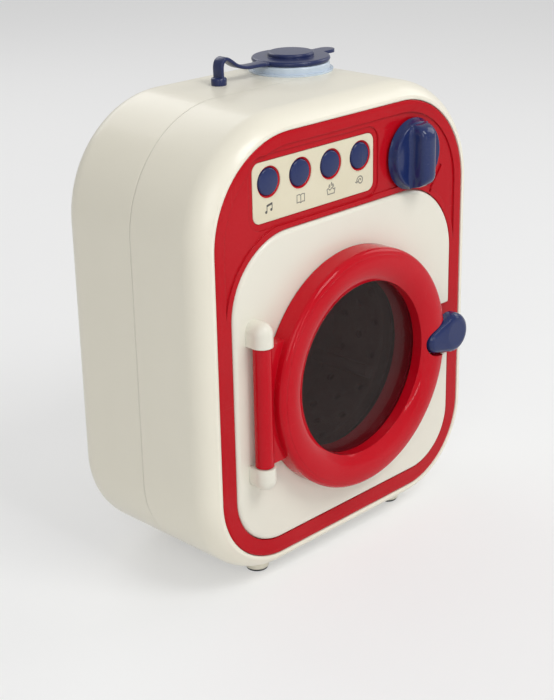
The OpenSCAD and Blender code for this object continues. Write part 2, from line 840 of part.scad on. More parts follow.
// Closed tube through rings of points
module tube(rings, sides) {
    n = len(rings);
    pts = [for (ring = rings) for (p = ring) p];
    walls = [for (i = [0 : n - 2]) for (k = [0 : sides - 1]) let (k2 = (k + 1) % sides)
        [i * sides + k, (i + 1) * sides + k, (i + 1) * sides + k2, i * sides + k2]];
    cap_a = [[for (k = [0 : sides - 1]) k]];
    cap_b = [[for (k = [sides - 1 : -1 : 0]) (n - 1) * sides + k]];
    polyhedron(pts, concat(walls, cap_a, cap_b), convexity = 8);
}

// ---- Controls ----------------------------------------------------------------------

// Section of the knob across its grip: low plate, grip bar and the coves between them
module grip_profile(floor_d) {
    half = 5.8;
    cove = 4.6;
    edge = 2;
    translate([-knob_r - 1, floor_d]) square([2 * knob_r + 2, 4 - floor_d]);
    translate([-half, -knob_proud + edge]) square([2 * half, knob_proud - edge]);
    translate([-half + edge, -knob_proud]) square([2 * (half - edge), knob_proud]);
    for (s = [-1, 1]) {
        translate([s * (half - edge), -knob_proud + edge]) circle(edge);
        difference() {
            translate([s * (half + cove / 2 - 0.1), floor_d - cove / 2 + 0.1])
                square(cove + 0.2, center = true);
            translate([s * (half + cove), floor_d - cove]) circle(cove);
        }
    }
}

// Round knob with a tapered wall, cut down to a grip bar between two scoops
module program_knob() {
    slope = 2;
    edge = 1.6;
    color("navy") placed() at(knob_x, knob_z) difference() {
        union() {
            intersection() {
                spun() difference() {
                    union() {
                        polygon([[0, -gap], [knob_r, -gap],
                            [knob_r - slope, -3.8], [0, -3.8]]);
                        translate([0, -knob_proud + edge]) square([knob_r - slope, knob_proud - edge]);
                        translate([0, -knob_proud]) square([knob_r - slope - edge, knob_proud]);
                        translate([knob_r - slope - edge, -knob_proud + edge]) circle(edge);
                    }
                    translate([-5, -20]) square([5, 30]);
                }
                translate([0, 0, -20]) linear_extrude(40) grip_profile(-3.6);
            }
            rod(5, -gap - 0.5, bezel_t + 0.8);
        }
        rod(shaft_r - 0.5 + 0.02, -6, bezel_t + 2);
    }
}

module knob_shaft() {
    color("silver") placed() at(knob_x, knob_z) rod(shaft_r - 0.5, -6, board_d - 3);
}

// Rotary switch on the board, with the bore that the knob's shaft turns in
module dial_switch() {
    color("dimgray") placed() at(knob_x, knob_z) difference() {
        union() {
            translate([-7, 8.5, -7]) cube([14, board_d - 8.5, 14]);
            rod(4.4, 6.4, 9);
        }
        rod(shaft_r - 0.5 + run, 5, board_d - 2.6);
    }
}

// Domed cap with a retaining flange behind the frame and a stem
module button(x) {
    dome_r = 30;
    face = label_face - 0.4;
    color("navy") placed() at(x, button_z) {
        spun() intersection() {
            translate([0, face - 1.4 + dome_r]) circle(dome_r);
            translate([0, face - 3]) square([button_r, bezel_t + gap - face + 3]);
        }
        rod(button_r + 1.1, bezel_t + gap - eps, bezel_t + gap + 1);
        rod(2, bezel_t + gap, board_d - 2.9 - button_travel);
    }
}

module button_1() { button(button_xs[0]); }
module button_2() { button(button_xs[1]); }
module button_3() { button(button_xs[2]); }
module button_4() { button(button_xs[3]); }

// Rubber mat of return domes on the board
module button_pad() {
    color("lightgray") placed() {
        slab(board_d - 0.8, board_d) translate([-label_x + 0.5, button_z])
            round_rect(3 * button_pitch + 14, 12, 3);
        for (x = button_xs) at(x, button_z) spun()
            polygon([[0, board_d - 2.7], [2.4, board_d - 2.7], [4.6, board_d - 0.7], [0, board_d - 0.7]]);
    }
}

module circuit_board() {
    color("seagreen") placed() {
        difference() {
            translate([board_x[0], board_d, board_z[0]])
                cube([board_x[1] - board_x[0], board_t, board_z[1] - board_z[0]]);
            for (p = board_spots) at(p[0], p[1]) rod(1.1, board_d - 1, board_d + board_t + 1);
        }
        back = board_d + board_t - eps;
        translate([-30, back, 184]) cube([14, 1.8, 10]);
        translate([4, back, 182]) cube([8, 3, 8]);
        at(28, 196) rod(4, back, back + 8);
        translate([-52, back, 180]) cube([7, 5, 9]);
    }
}

// ---- Screws ------------------------------------------------------------------------

// Pan-head screw along +Y with its head at depth d, cross slot included
module screw(d, length, r, hr, ht) {
    difference() {
        union() {
            rod(r, d - length, d + eps);
            rod(hr, d, d + ht);
        }
        for (a = [0, 90]) rotate([0, a, 0])
            translate([-hr * 0.65, d + ht * 0.45, -0.3]) cube([hr * 1.3, ht, 0.6]);
    }
}

module housing_screws() {
    d = split_d + 3 + 2.4;
    color("silver") placed() for (p = screw_spots) at(p[0], p[1])
        screw(d, 14, pilot_r, head_r, 1.8);
}

module tub_screws() {
    color("silver") placed() for (p = tub_spots) at(p[0], p[1])
        screw(tub_front + 2.4, 8, pilot_r, head_r, 1.6);
}

module board_screws() {
    color("silver") placed() for (p = board_spots) at(p[0], p[1])
        screw(board_d + board_t, 6, 0.8, 1.9, 1.2);
}

module foot_pads() {
    color("gainsboro") placed() for (x = [-foot_x, foot_x]) for (d = foot_ds)
        translate([x, d, 0]) {
            cylinder(r = foot_r - 0.5, h = foot_h - 4.6);
        }
}

// ---- Filler ------------------------------------------------------------------------

module at_filler() {
    placed() translate([collar_x, collar_d, 0]) children();
}

lip_z = body_top + collar_h;

module filler_collar() {
    color("aliceblue") {
        difference() {
            at_filler() rotate_extrude() {
                translate([0, body_top - 1.6]) square([collar_r - 1, collar_h + 1.6 - 1]);
                translate([0, body_top - 1.6]) square([collar_r - 2, collar_h + 1.6]);
                translate([0, body_top - 1.6]) square([collar_r + 0.6, 2.4]);
                translate([collar_r - 2, lip_z - 1]) circle(1);
            }
            placed() housing_solid();
            at_filler() translate([0, 0, body_top - 12]) cylinder(r = filler_r, h = 20);
        }
        difference() {
            at_filler() translate([0, 0, body_top - 12]) cylinder(r = filler_r + 1, h = 12.5);
            at_filler() translate([0, 0, body_top - 13]) cylinder(r = filler_r, h = 20);
        }
    }
}

// Cup under the collar with a spout down to the tub
spout_d = collar_d - 10;
cup_low = body_top - 18;

module filler_funnel() {
    color("white") difference() {
        union() {
            at_filler() translate([0, 0, cup_low]) cylinder(r = filler_r + 2.6, h = 13);
            placed() translate([collar_x, spout_d, spout_end]) cylinder(r = 5, h = cup_low - spout_end + 1);
        }
        at_filler() translate([0, 0, cup_low + 1.6]) cylinder(r = filler_r + 1.05, h = 20);
        placed() translate([collar_x, spout_d, spout_end - 1])
            cylinder(r = 3.8, h = cup_low - spout_end + 4);
    }
}

// Height at which the tub's wall stands x off its middle
function tub_top(x) = door_z + sqrt(tub_r * tub_r - x * x);
spout_end = tub_top(collar_x) - 1;

// Soft cap: plug, disc, raised middle and a pull tab
module filler_cap() {
    disc_r = collar_r - 0.8;
    z0 = lip_z + 0.1;
    color("navy") at_filler() {
        rotate_extrude() {
            translate([0, z0 - 6]) square([filler_r - 0.3, 6 + eps]);
            translate([0, z0]) square([disc_r - cap_t / 2, cap_t]);
            translate([disc_r - cap_t / 2, z0 + cap_t / 2]) circle(cap_t / 2);
            translate([0, z0 + cap_t - eps]) square([cap_mid_r - 1, 2]);
            translate([0, z0 + cap_t - eps]) square([cap_mid_r, 1]);
            translate([cap_mid_r - 1, z0 + cap_t + 1 - eps]) circle(1 - eps);
        }
        translate([disc_r - 3, 0, z0 + 0.4]) linear_extrude(1.6) {
            translate([0, -4]) square([9, 8]);
            translate([9, 0]) circle(4);
        }
    }
}

// Strap from the cap over an arch down to its stud in the housing
module cap_tether() {
    t = 1.7;
    z0 = lip_z + 0.5;
    x1 = collar_x - collar_r + 0.2;
    stud_x = collar_x - tether_reach;
    peak = body_top + tether_h;
    arch_r = 3.2;
    rise_x = stud_x + 12;
    color("navy") placed() {
        translate([0, collar_d + 3, 0]) rotate([90, 0, 0]) linear_extrude(6) difference() {
            union() {
                translate([rise_x + 5, z0]) square([x1 - rise_x - 5, t]);
                polygon([
                    [rise_x + 5, z0], [rise_x + 5, z0 + t], [rise_x + 1, z0 + t + 1],
                    [stud_x + 2 * arch_r - 0.6, peak - 1.6], [stud_x + arch_r, peak],
                    [stud_x + arch_r, peak - t], [stud_x + 2 * arch_r - 1.6, peak - 3.2],
                    [rise_x, z0 + 1]
                ]);
                intersection() {
                    translate([stud_x + arch_r, peak - arch_r - t / 2]) circle(arch_r + t / 2);
                    translate([stud_x - t, peak - arch_r - t / 2]) square([arch_r + t + eps, 10]);
                }
                translate([stud_x - t / 2, body_top + 1])
                    square([t, peak - arch_r - t / 2 - body_top - 1 + eps]);
            }
            intersection() {
                translate([stud_x + arch_r, peak - arch_r - t / 2]) circle(arch_r - t / 2);
                translate([stud_x - t, peak - arch_r - t / 2 - 4]) square([arch_r + t + eps, 10]);
            }
        }
        translate([stud_x, collar_d, body_top]) cylinder(r = 3.6, h = 3.4);
    }
}

// ---- Wash system -------------------------------------------------------------------

module mouth_seal() {
    color("gainsboro") placed() at(0, door_z) difference() {
        union() {
            spun() {
                translate([0, 1.5]) square([panel_hole_r - 1.7, 2.5]);
                translate([panel_hole_r - 1.7, 2.75]) circle(1.25);
            }
            rod(mouth_r - 0.2, 3, tub_front);
        }
        rod(mouth_in, 0, tub_front + 1);
    }
}

// Ring board with small lamps that light the tub's mouth
module light_ring() {
    d0 = front_in;
    color("orange") placed() at(0, door_z) difference() {
        union() {
            rod(tub_r - 1.6, d0, d0 + 1);
            for (a = [20 : 40 : 340]) rotate([0, a, 0]) translate([tub_r - 3.4, 0, 0])
                spun() {
                    translate([0, d0 + 1 - eps]) square([1.5, 1]);
                    intersection() {
                        translate([0, d0 + 2 - 2 * eps]) circle(1.5);
                        translate([0, d0 + 1]) square(3);
                    }
                }
        }
        rod(mouth_r + 1.6, d0 - 1, d0 + 5);
    }
}

module tub() {
    nozzle_x = drain_x;
    color("whitesmoke") placed() difference() {
        union() {
            at(0, door_z) rod(tub_r, tub_front, tub_back);
            at(0, door_z) rod(9, tub_back - eps, tub_back + 5.5);
            for (p = tub_spots) at(p[0], p[1]) rod(4.6, ear_d, tub_front + 2.4);
            for (p = tub_spots) hull_bar(p);
            translate([collar_x, spout_d, tub_top(collar_x) - 6]) cylinder(r = 6.8, h = 14);
            translate([nozzle_x, hose_d, 2 * door_z - tub_top(nozzle_x) - 6])
                cylinder(r = pipe_r + 1.6, h = 12);
            for (p = frame_posts) translate([p[0], 0, p[1]]) rod(3, tub_back - 2, tub_back + 2.5);
        }
        at(0, door_z) {
            rod(tub_r - thin, tub_front + thin, tub_back - thin);
            rod(mouth_r - 0.6, tub_front - 1, tub_front + thin + 1);
            rod(6 + eps, tub_back - thin - 1, tub_back + 6);
        }
        translate([collar_x, spout_d, spout_end]) cylinder(r = 5 + 0.1, h = 20);
        translate([collar_x, spout_d, spout_end - 8]) cylinder(r = 3.8, h = 20);
        translate([nozzle_x, hose_d, 20]) cylinder(r = pipe_r + 0.05, h = drain_top - 20);
        translate([nozzle_x, hose_d, 20]) cylinder(r = pipe_r - 1.4, h = 44);
        for (p = tub_spots) at(p[0], p[1]) rod(pilot_r + 0.2, tub_front - 1, tub_front + 3);
        for (p = frame_posts) at(p[0], p[1]) rod(1, tub_back - 1, tub_back + 4);
    }
}

// Web between a mounting ear and the tub's wall
module hull_bar(p) {
    a = atan2(p[1] - door_z, p[0]);
    at(0, door_z) rotate([0, -a, 0]) translate([tub_r - 6, ear_d, -4]) cube([8.4, 2.4 - 0.4, 8]);
}

drum_front = tub_front + 4;
drum_back = tub_back - 5;

// Perforated drum with a rolled front lip and three lifting ribs
module drum() {
    depth = drum_back - drum_front;
    color("silver") placed() at(0, door_z) difference() {
        union() {
            difference() {
                rod(drum_r, drum_front, drum_back);
                rod(drum_r - thin, drum_front + thin, drum_back - thin);
                rod(drum_mouth_r, drum_front - 1, drum_front + thin + 1);
            }
            spun() translate([drum_mouth_r + 0.9, drum_front + 0.9]) circle(0.9);
            for (a = [30, 150, 270]) rotate([0, a, 0])
                translate([drum_r - thin - 8, drum_front + thin - eps, -3]) {
                    cube([8.5, depth - 2 * thin + 2 * eps, 6]);
                    translate([0, depth - 2 * thin, 3]) rotate([90, 0, 0])
                        cylinder(r = 3, h = depth - 2 * thin);
                }
            rod(8, drum_back - eps, drum_back + 2);
        }
        for (i = [0:2]) for (k = [0 : holes_round - 1])
            rotate([0, (k + (i % 2) / 2) * 360 / holes_round, 0])
                translate([drum_r - thin - 1, drum_front + depth * (0.25 + 0.25 * i), 0])
                    rotate([0, 90, 0]) cylinder(r = hole_r, h = thin + 2);
        for (ring = [[14, 6], [24, 12], [34, 18]]) for (k = [0 : ring[1] - 1])
            rotate([0, k * 360 / ring[1], 0]) translate([ring[0], 0, 0])
                rod(hole_r - 0.3, drum_back - thin - 1, drum_back + 1);
        rod(shaft_r, drum_back - thin + 0.4, drum_back + 3);
    }
}

module drum_shaft() {
    color("silver") placed() at(0, door_z)
        rod(shaft_r - 0.01, drum_back - thin + 0.4, frame_rear_d + frame_t);
}

module drum_bearing() {
    color("goldenrod") placed() at(0, door_z) difference() {
        union() {
            rod(6, tub_back - thin - 0.5, tub_back + 5.5);
            rod(7.5, tub_back - thin - 1, tub_back - thin);
        }
        rod(shaft_r + run, tub_back - thin - 2, tub_back + 6);
    }
}

// ---- Gears -------------------------------------------------------------------------

function deg(a) = a * 180 / PI;
function inv(a) = deg(tan(a)) - a;
function tooth_half(m, n, r) =
    let (rp = m * n / 2, rb = rp * cos(20), a = r > rb ? acos(rb / r) : 0)
    90 / n + inv(20) - inv(a) - deg(gear_slack / rp);
function tooth(m, n) =
    let (rp = m * n / 2, rb = rp * cos(20), root = rp - gear_ded * m, tip = rp + gear_add * m,
        low = max(rb, root + 0.05),
        rs = [for (k = [0:4]) low + (tip - low) * k / 4])
    concat(
        [[root, -tooth_half(m, n, low)]],
        [for (r = rs) [r, -tooth_half(m, n, r)]],
        [for (k = [4:-1:0]) [rs[k], tooth_half(m, n, rs[k])]],
        [[root, tooth_half(m, n, low)]]);

// Spur gear outline with tooth 0 at angle a0
module gear_outline(n, a0) {
    flank = tooth(gear_m, n);
    polygon([for (i = [0 : n - 1]) for (p = flank)
        let (a = a0 + i * 360 / n + p[1]) [p[0] * cos(a), p[0] * sin(a)]]);
}

module gear(n, a0, d0, d1) {
    slab(d0, d1) gear_outline(n, a0);
}

pinion_pr = gear_m * pinion_teeth / 2;
idler_pr = gear_m * idler_teeth / 2;
drum_pr = gear_m * drum_teeth / 2;
reach_2 = drum_pr + pinion_pr;
reach_1 = reach_2 + idler_pr + pinion_pr;
reach_0 = reach_1 + idler_pr + pinion_pr;
function along(reach) = [reach * cos(train_a), door_z + reach * sin(train_a)];
idler_2_at = along(reach_2);
idler_1_at = along(reach_1);
motor_at = along(reach_0);
frame_front_d = tub_back + 2.5;
frame_t = 2;
layer_c = frame_front_d + frame_t + 1;       // motor pinion and first idler wheel
layer_b = layer_c + gear_t + 1;              // first idler pinion and second idler wheel
layer_a = layer_b + gear_t + 1;              // second idler pinion and drum gear
frame_rear_d = layer_a + gear_t + 1;
axle_r = 1.5;
post_v = idler_pr + 6;
frame_posts = [for (s = [-1, 1]) for (u = [-8, reach_1 - 4])
    let (a = train_a, v = s * post_v)
    [u * cos(a) - v * sin(a), door_z + u * sin(a) + v * cos(a)]];

module drum_gear() {
    color("white") placed() at(0, door_z) difference() {
        union() {
            gear(drum_teeth, train_a + 180 / drum_teeth, layer_a, layer_a + gear_t);
            rod(6, layer_a - 5, layer_a + eps);
        }
        rod(shaft_r, layer_a - 6, layer_a + gear_t + 1);
        for (k = [0:4]) rotate([0, k * 72, 0]) translate([12, 0, 0])
            rod(3.4, layer_a - 1, layer_a + gear_t + 1);
    }
}

module idler(at_xz, wheel_d, pinion_d) {
    color("white") placed() at(at_xz[0], at_xz[1]) difference() {
        union() {
            gear(idler_teeth, train_a + 180 / idler_teeth, wheel_d, wheel_d + gear_t);
            gear(pinion_teeth, train_a + 180, pinion_d, pinion_d + gear_t);
            rod(pinion_pr - gear_ded * gear_m, wheel_d, pinion_d + gear_t);
        }
        rod(axle_r + run, frame_front_d, frame_rear_d + 3);
    }
}

module idler_gear_1() {
    idler(idler_1_at, layer_c, layer_b);
}

module idler_gear_2() {
    idler(idler_2_at, layer_b, layer_a);
}

module motor_pinion() {
    color("gold") placed() at(motor_at[0], motor_at[1]) union() {
        gear(pinion_teeth, train_a + 180, layer_c, layer_c + gear_t);
        rod(1, motor_face - 4, layer_c + eps);
    }
}

motor_face = frame_front_d;

// Small can motor with flat sides and a bearing boss
module motor() {
    l = 25;
    color("silver") placed() at(motor_at[0], motor_at[1]) rotate([0, -train_a, 0]) difference() {
        union() {
            intersection() {
                rod(10, motor_face - l, motor_face);
                translate([-7.6, motor_face - l, -12]) cube([15.2, l, 24]);
            }
            rod(3, motor_face - l - 1.4, motor_face - l + eps);
        }
        rod(1 + run, motor_face - 4.2, motor_face + 1);
    }
}

module frame_plate(d0, end) {
    slab(d0, d0 + frame_t) translate([0, door_z]) rotate(train_a) {
        translate([-12, -post_v - 3.5]) square([end + 12, 2 * post_v + 7]);
    }
}

module gear_frame_front() {
    color("lightgray") placed() difference() {
        frame_plate(frame_front_d, reach_0 + 9);
        at(0, door_z) rod(9.4, frame_front_d - 1, frame_front_d + 3);
        for (c = [idler_1_at, idler_2_at]) at(c[0], c[1]) rod(axle_r, frame_front_d - 1, frame_front_d + 3);
        at(motor_at[0], motor_at[1]) rod(1.6, frame_front_d - 1, frame_front_d + 3);
        for (p = frame_posts) at(p[0], p[1]) rod(1.2, frame_front_d - 1, frame_front_d + 3);
    }
}

module gear_frame_rear() {
    color("lightgray") placed() difference() {
        union() {
            frame_plate(frame_rear_d, reach_1 + 6);
            for (p = frame_posts) at(p[0], p[1]) rod(3, frame_front_d + frame_t, frame_rear_d + eps);
        }
        at(0, door_z) rod(shaft_r + run, frame_rear_d - 1, frame_rear_d + 3);
        for (c = [idler_1_at, idler_2_at]) at(c[0], c[1]) rod(axle_r, frame_rear_d - 1, frame_rear_d + 3);
        for (p = frame_posts) at(p[0], p[1]) rod(1.2, frame_front_d - 1, frame_rear_d + 3);
    }
}

module gear_screws() {
    color("silver") placed() for (p = frame_posts) at(p[0], p[1])
        screw(frame_rear_d + frame_t, frame_rear_d + frame_t - tub_back + 1, 1, 2.4, 1.4);
}

module gear_axles() {
    color("silver") placed() for (c = [idler_1_at, idler_2_at])
        at(c[0], c[1]) rod(axle_r - 0.01, frame_front_d, frame_rear_d + frame_t);
}

// ---- Power -------------------------------------------------------------------------

door_w = 62;
door_hh = 50;
battery_mid = [0, body_d, 43];
lobe_z = battery_mid[2] + door_hh / 2 + 3.5;
box_d = body_d - wall - 2 * cell_r - 2.4;

module battery_box() {
    l = cell_l + 6;
    h = 2 * cell_pitch + 2 * cell_r + 0.6;
    t = 1.4;
    color("dimgray") placed() translate([0, 0, battery_mid[2]]) difference() {
        union() {
            translate([-l / 2 - t, box_d - t, -h / 2 - t])
                cube([l + 2 * t, back_in - box_d + t, h + 2 * t]);
            translate([-door_w / 2 - 3, back_in - 1.6, -door_hh / 2 + 1])
                cube([door_w + 6, 1.6, door_hh - 1]);
        }
        translate([-l / 2, box_d, -h / 2]) cube([l, 40, h]);
        for (x = [-18, 18]) translate([x - 4.6, back_in - 2.4, -door_hh / 2 - 3]) cube([9.2, 4, 9]);
    }
}

module battery_cells() {
    color("darkorange") placed() for (i = [-1:1])
        translate([-cell_l / 2, box_d + cell_r + 0.2, battery_mid[2] + i * cell_pitch])
            rotate([0, 90, 0]) {
                cylinder(r = cell_r, h = cell_l - 1.4);
                cylinder(r = 2.6, h = cell_l);
            }
}

module battery_contacts() {
    l = cell_l + 6;
    color("silver") placed() for (i = [-1:1]) {
        z = battery_mid[2] + i * cell_pitch;
        for (s = [-1, 1]) translate([s > 0 ? l / 2 - 0.4 : -l / 2, box_d + 2, z - 5])
            cube([0.4, 10, 10]);
        translate([-l / 2 + 0.4, box_d + cell_r + 0.2, z]) rotate([0, 90, 0])
            rotate_extrude() for (k = [0:3]) translate([3.6 - 0.5 * k, 0.2 + 0.6 * k]) circle(0.45);
    }
}

module battery_door() {
    color("ivory") placed() translate([0, 0, battery_mid[2]]) difference() {
        union() {
            translate([-door_w / 2, body_d - 2, -door_hh / 2]) cube([door_w, 2, door_hh]);
            translate([-5, body_d - 2, 0]) cube([10, 2, lobe_z - battery_mid[2]]);
            translate([0, 0, lobe_z - battery_mid[2]]) rod(5, body_d - 2, body_d);
            for (x = [-18, 18]) translate([x - 4, body_d - wall - 1.6, -door_hh / 2 - 2])
                cube([8, 1.4, 6]);
            for (x = [-18, 18]) translate([x - 4, body_d - wall - 1.6, -door_hh / 2 + fit])
                cube([8, 2.4, 3]);
        }
        translate([0, 0, lobe_z - battery_mid[2]]) {
            rod(1.4, body_d - 3, body_d + 1);
            rod(2.4, body_d - 1, body_d + 1);
        }
        for (k = [-2:2]) translate([-10, body_d - 0.5, -12 + k * 2.4]) cube([20, 1, 1.2]);
    }
}

module battery_door_screw() {
    color("silver") placed() at(0, lobe_z) screw(body_d - 1, 7, 1, 2.2, 0.9);
}

module speaker() {
    d1 = back_in - 0.4;
    color("dimgray") placed() at(speaker_x, speaker_z) {
        rod(speaker_r, d1 - 1.2, d1);
        rod(speaker_r - 2.5, d1 - 4, d1 - 1);
        rod(13, d1 - 6, d1 - 3.9);
        rod(9.5, d1 - 11, d1 - 5.9);
    }
}

// ---- Drain -------------------------------------------------------------------------

pipe_r = 6;
bend_r = pipe_r + 2;
drain_x = 40;
drain_top = 2 * door_z - tub_top(drain_x) + 1;
drain_low = hose_up - (hose_out - drain_x) * tan(hose_angle);

// Frame at the hose's start, with Z along the hose
module at_port() {
    translate([hose_out, hose_d, hose_up]) rotate([0, 90 - hose_angle, 0]) children();
}

// Upright leg, bend and outlet leg as one run of radius r, with the bend wider by step
module drain_run(r, step, over) {
    turn = 90 + hose_angle;
    t = bend_r * tan(turn / 2);
    leg = (hose_out - 9 - drain_x) / cos(hose_angle);
    translate([drain_x, hose_d, drain_low]) {
        translate([0, 0, t - 0.5]) cylinder(r = r, h = drain_top - drain_low - t + over + 0.5);
        translate([bend_r, 0, t]) rotate([90, 0, 0]) rotate([0, 0, 180])
            rotate_extrude(angle = turn) translate([bend_r, 0]) circle(r + step);
        rotate([0, 90 - hose_angle, 0]) translate([0, 0, t - 0.5])
            cylinder(r = r, h = leg - t + over + 0.5);
    }
}

module drain_pipe() {
    color("whitesmoke") placed() difference() {
        drain_run(pipe_r, 0.6, 0);
        drain_run(pipe_r - 1.4, 0.2, 2);
    }
}

// Spigot in the housing's side that the hose pushes onto
module hose_port() {
    color("white") {
        difference() {
            placed() at_port() translate([0, 0, -14]) cylinder(r = hose_r + 2, h = 13);
            placed() housing_solid();
            placed() at_port() translate([0, 0, -30]) cylinder(r = pipe_r + 0.1, h = 60);
        }
        difference() {
            placed() at_port() translate([0, 0, -14]) cylinder(r = hose_r - 0.25, h = 14);
            placed() at_port() translate([0, 0, -30]) cylinder(r = pipe_r + 0.1, h = 60);
        }
    }
}

// Plain tube along the route; each ring lies square to the route
module drain_hose() {
    n = len(HOSE);
    sides = 12;
    rings = [for (i = [0 : n - 1]) let (
        a = HOSE[max(i - 1, 0)], b = HOSE[min(i + 1, n - 1)],
        first = [cos(hose_angle), sin(hose_angle)],
        t0 = i == 0 ? first : i == n - 1 ? [0, 1] : (b - a) / norm(b - a))
        [for (k = [0 : sides - 1]) let (w = k * 360 / sides) [
            HOSE[i][0] - hose_r * cos(w) * t0[1], hose_d + hose_r * sin(w),
            HOSE[i][1] + hose_r * cos(w) * t0[0]]]];
    color("white") placed() tube(rings, sides);
}

module hose_coupling() {
    r = coupling_r;
    l = coupling_l;
    color("navy") placed() translate([hose_end[0], hose_d, hose_end[1]]) difference() {
        union() {
            cylinder(r = r, h = l);
            cylinder(r = r + 0.5, h = 1.6);
            translate([0, 0, l * 0.48]) cylinder(r = r + 0.4, h = 1.6);
        }
        translate([0, 0, 12]) cylinder(r = 8, h = l);
        translate([0, 0, -1]) cylinder(r = 6.4, h = l);
        translate([-r - 2, 0, l * 0.48 + 0.8]) rotate([0, 90, 0]) cylinder(r = 1.4, h = 3.6);
    }
}

hook_z = 174;

// Bent wire hook from the coupling into the hole in the housing's side
module hose_hook() {
    r = 1.3;
    out_x = hose_end[0] - coupling_r - 3;
    up_z = hose_end[1] + coupling_l * 0.48 + 0.8;
    color("navy") placed() translate([0, hose_d, 0]) {
        translate([out_x, 0, up_z]) rotate([0, 90, 0]) cylinder(r = r, h = 4.4);
        translate([out_x, 0, up_z]) sphere(r = r);
        translate([out_x, 0, hook_z]) cylinder(r = r, h = up_z - hook_z);
        translate([out_x, 0, hook_z]) sphere(r = r);
        translate([hook_in, 0, hook_z]) rotate([0, 90, 0]) cylinder(r = r, h = out_x - hook_in);
    }
}

front_shell();
rear_shell();
front_bezel();
door_surround();
control_label();
foot_pads();
housing_screws();
filler_collar();
filler_funnel();
filler_cap();
cap_tether();
door_ring();
door_window();
door_sleeve();
door_screws();
hinge_pin();
latch_handle();
latch_pin();
latch_spring();
latch_keeper();
program_knob();
knob_shaft();
dial_switch();
button_1();
button_2();
button_3();
button_4();
button_pad();
circuit_board();
board_screws();
mouth_seal();
light_ring();
tub();
tub_screws();
drum();
drum_shaft();
drum_bearing();
drum_gear();
idler_gear_1();
idler_gear_2();
motor_pinion();
motor();
gear_frame_front();
gear_frame_rear();
gear_axles();
gear_screws();
battery_box();
battery_contacts();
battery_cells();
battery_door();
battery_door_screw();
speaker();
drain_pipe();
hose_port();
drain_hose();
hose_coupling();
hose_hook();
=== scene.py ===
"""Looks of the toy washing machine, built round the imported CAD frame.

Metres, +Z up, front towards -Y. Shapes are written in mm and scaled in new_mesh.
"""

import math

import bpy
from mathutils import Matrix, Vector


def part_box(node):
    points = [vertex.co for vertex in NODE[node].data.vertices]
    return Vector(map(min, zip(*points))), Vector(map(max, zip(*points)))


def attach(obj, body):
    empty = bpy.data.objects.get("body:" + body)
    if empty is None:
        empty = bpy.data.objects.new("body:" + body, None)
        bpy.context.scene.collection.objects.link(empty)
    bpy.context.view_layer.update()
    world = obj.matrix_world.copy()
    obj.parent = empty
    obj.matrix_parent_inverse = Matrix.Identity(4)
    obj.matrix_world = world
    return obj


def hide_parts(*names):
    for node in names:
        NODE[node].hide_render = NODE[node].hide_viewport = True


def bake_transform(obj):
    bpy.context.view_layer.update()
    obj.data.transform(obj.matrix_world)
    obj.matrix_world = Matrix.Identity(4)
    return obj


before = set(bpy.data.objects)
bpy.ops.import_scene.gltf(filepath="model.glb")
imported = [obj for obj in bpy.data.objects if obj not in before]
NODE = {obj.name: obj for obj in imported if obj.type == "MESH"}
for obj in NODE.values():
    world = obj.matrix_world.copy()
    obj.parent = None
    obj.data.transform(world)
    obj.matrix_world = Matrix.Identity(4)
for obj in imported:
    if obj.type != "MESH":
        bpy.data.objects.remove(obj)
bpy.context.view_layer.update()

MM = 0.001
FRONT_Y = -37.55  # mm, face of the front frame; depths are counted back from it
BODY_TOP = 217.6  # mm, top of the housing
scene = bpy.context.scene

# ---- Camera ------------------------------------------------------------------------

CAMERA_AXES = (  # columns are the camera's right, up and back directions
    (0.690803, 0.269134, -0.671087),
    (-0.722875, 0.237060, -0.649041),
    (-0.015591, 0.933472, 0.358312),
)
CAMERA_PLACE = (-0.480337, -0.467109, 0.356899)
LONG_SIDE = 700  # pixels
FOCAL = 1502.3  # pixels
SENSOR = 36  # mm

camera_data = bpy.data.cameras.new("camera")
camera = bpy.data.objects.new("camera", camera_data)
scene.collection.objects.link(camera)
matrix = Matrix.Identity(4)
for row in range(3):
    for column in range(3):
        matrix[row][column] = CAMERA_AXES[row][column]
    matrix[row][3] = CAMERA_PLACE[row]
camera.matrix_world = matrix
camera_data.sensor_width = SENSOR
camera_data.lens = FOCAL * SENSOR / LONG_SIDE
camera_data.shift_x = -0.0239
camera_data.shift_y = -0.0280
camera_data.clip_start = 0.01
camera_data.clip_end = 50
scene.camera = camera

# ---- Mesh helpers ------------------------------------------------------------------


def new_mesh(name, verts, faces, smooth=True):
    """A mesh object from vertices in mm in the frame's axes."""
    mesh = bpy.data.meshes.new(name)
    mesh.from_pydata([Vector(v) * MM for v in verts], [], faces)
    mesh.validate()
    if smooth:
        mesh.polygons.foreach_set("use_smooth", [True] * len(mesh.polygons))
    mesh.update()
    obj = bpy.data.objects.new(name, mesh)
    scene.collection.objects.link(obj)
    return obj


def paint(obj, material):
    """Gives an object one material."""
    obj.data.materials.clear()
    obj.data.materials.append(material)


def skin(rings, n, first=0, flip=False, closed=False):
    """Quads between rings of n points. closed joins the last ring to the first one."""
    faces = []
    for i in range(rings if closed else rings - 1):
        here, there = first + i * n, first + (i + 1) % rings * n
        for k in range(n):
            after = (k + 1) % n
            quad = (here + k, here + after, there + after, there + k)
            faces.append((quad[0], quad[3], quad[2], quad[1]) if flip else quad)
    return faces


def lid(first, n, flip=False):
    """One face over a ring of n points."""
    loop = tuple(range(first, first + n))
    return loop[::-1] if flip else loop


def about_front(x, z):
    """Places (radius, height in front of the frame's face, angle) round an axis along -Y."""
    return lambda r, h, a: (x + r * math.cos(a), FRONT_Y - h, z + r * math.sin(a))


def circle_rows(pairs, sides, place):
    """Rings of points from (radius, height) pairs."""
    return [place(r, h, 2 * math.pi * k / sides) for r, h in pairs for k in range(sides)]


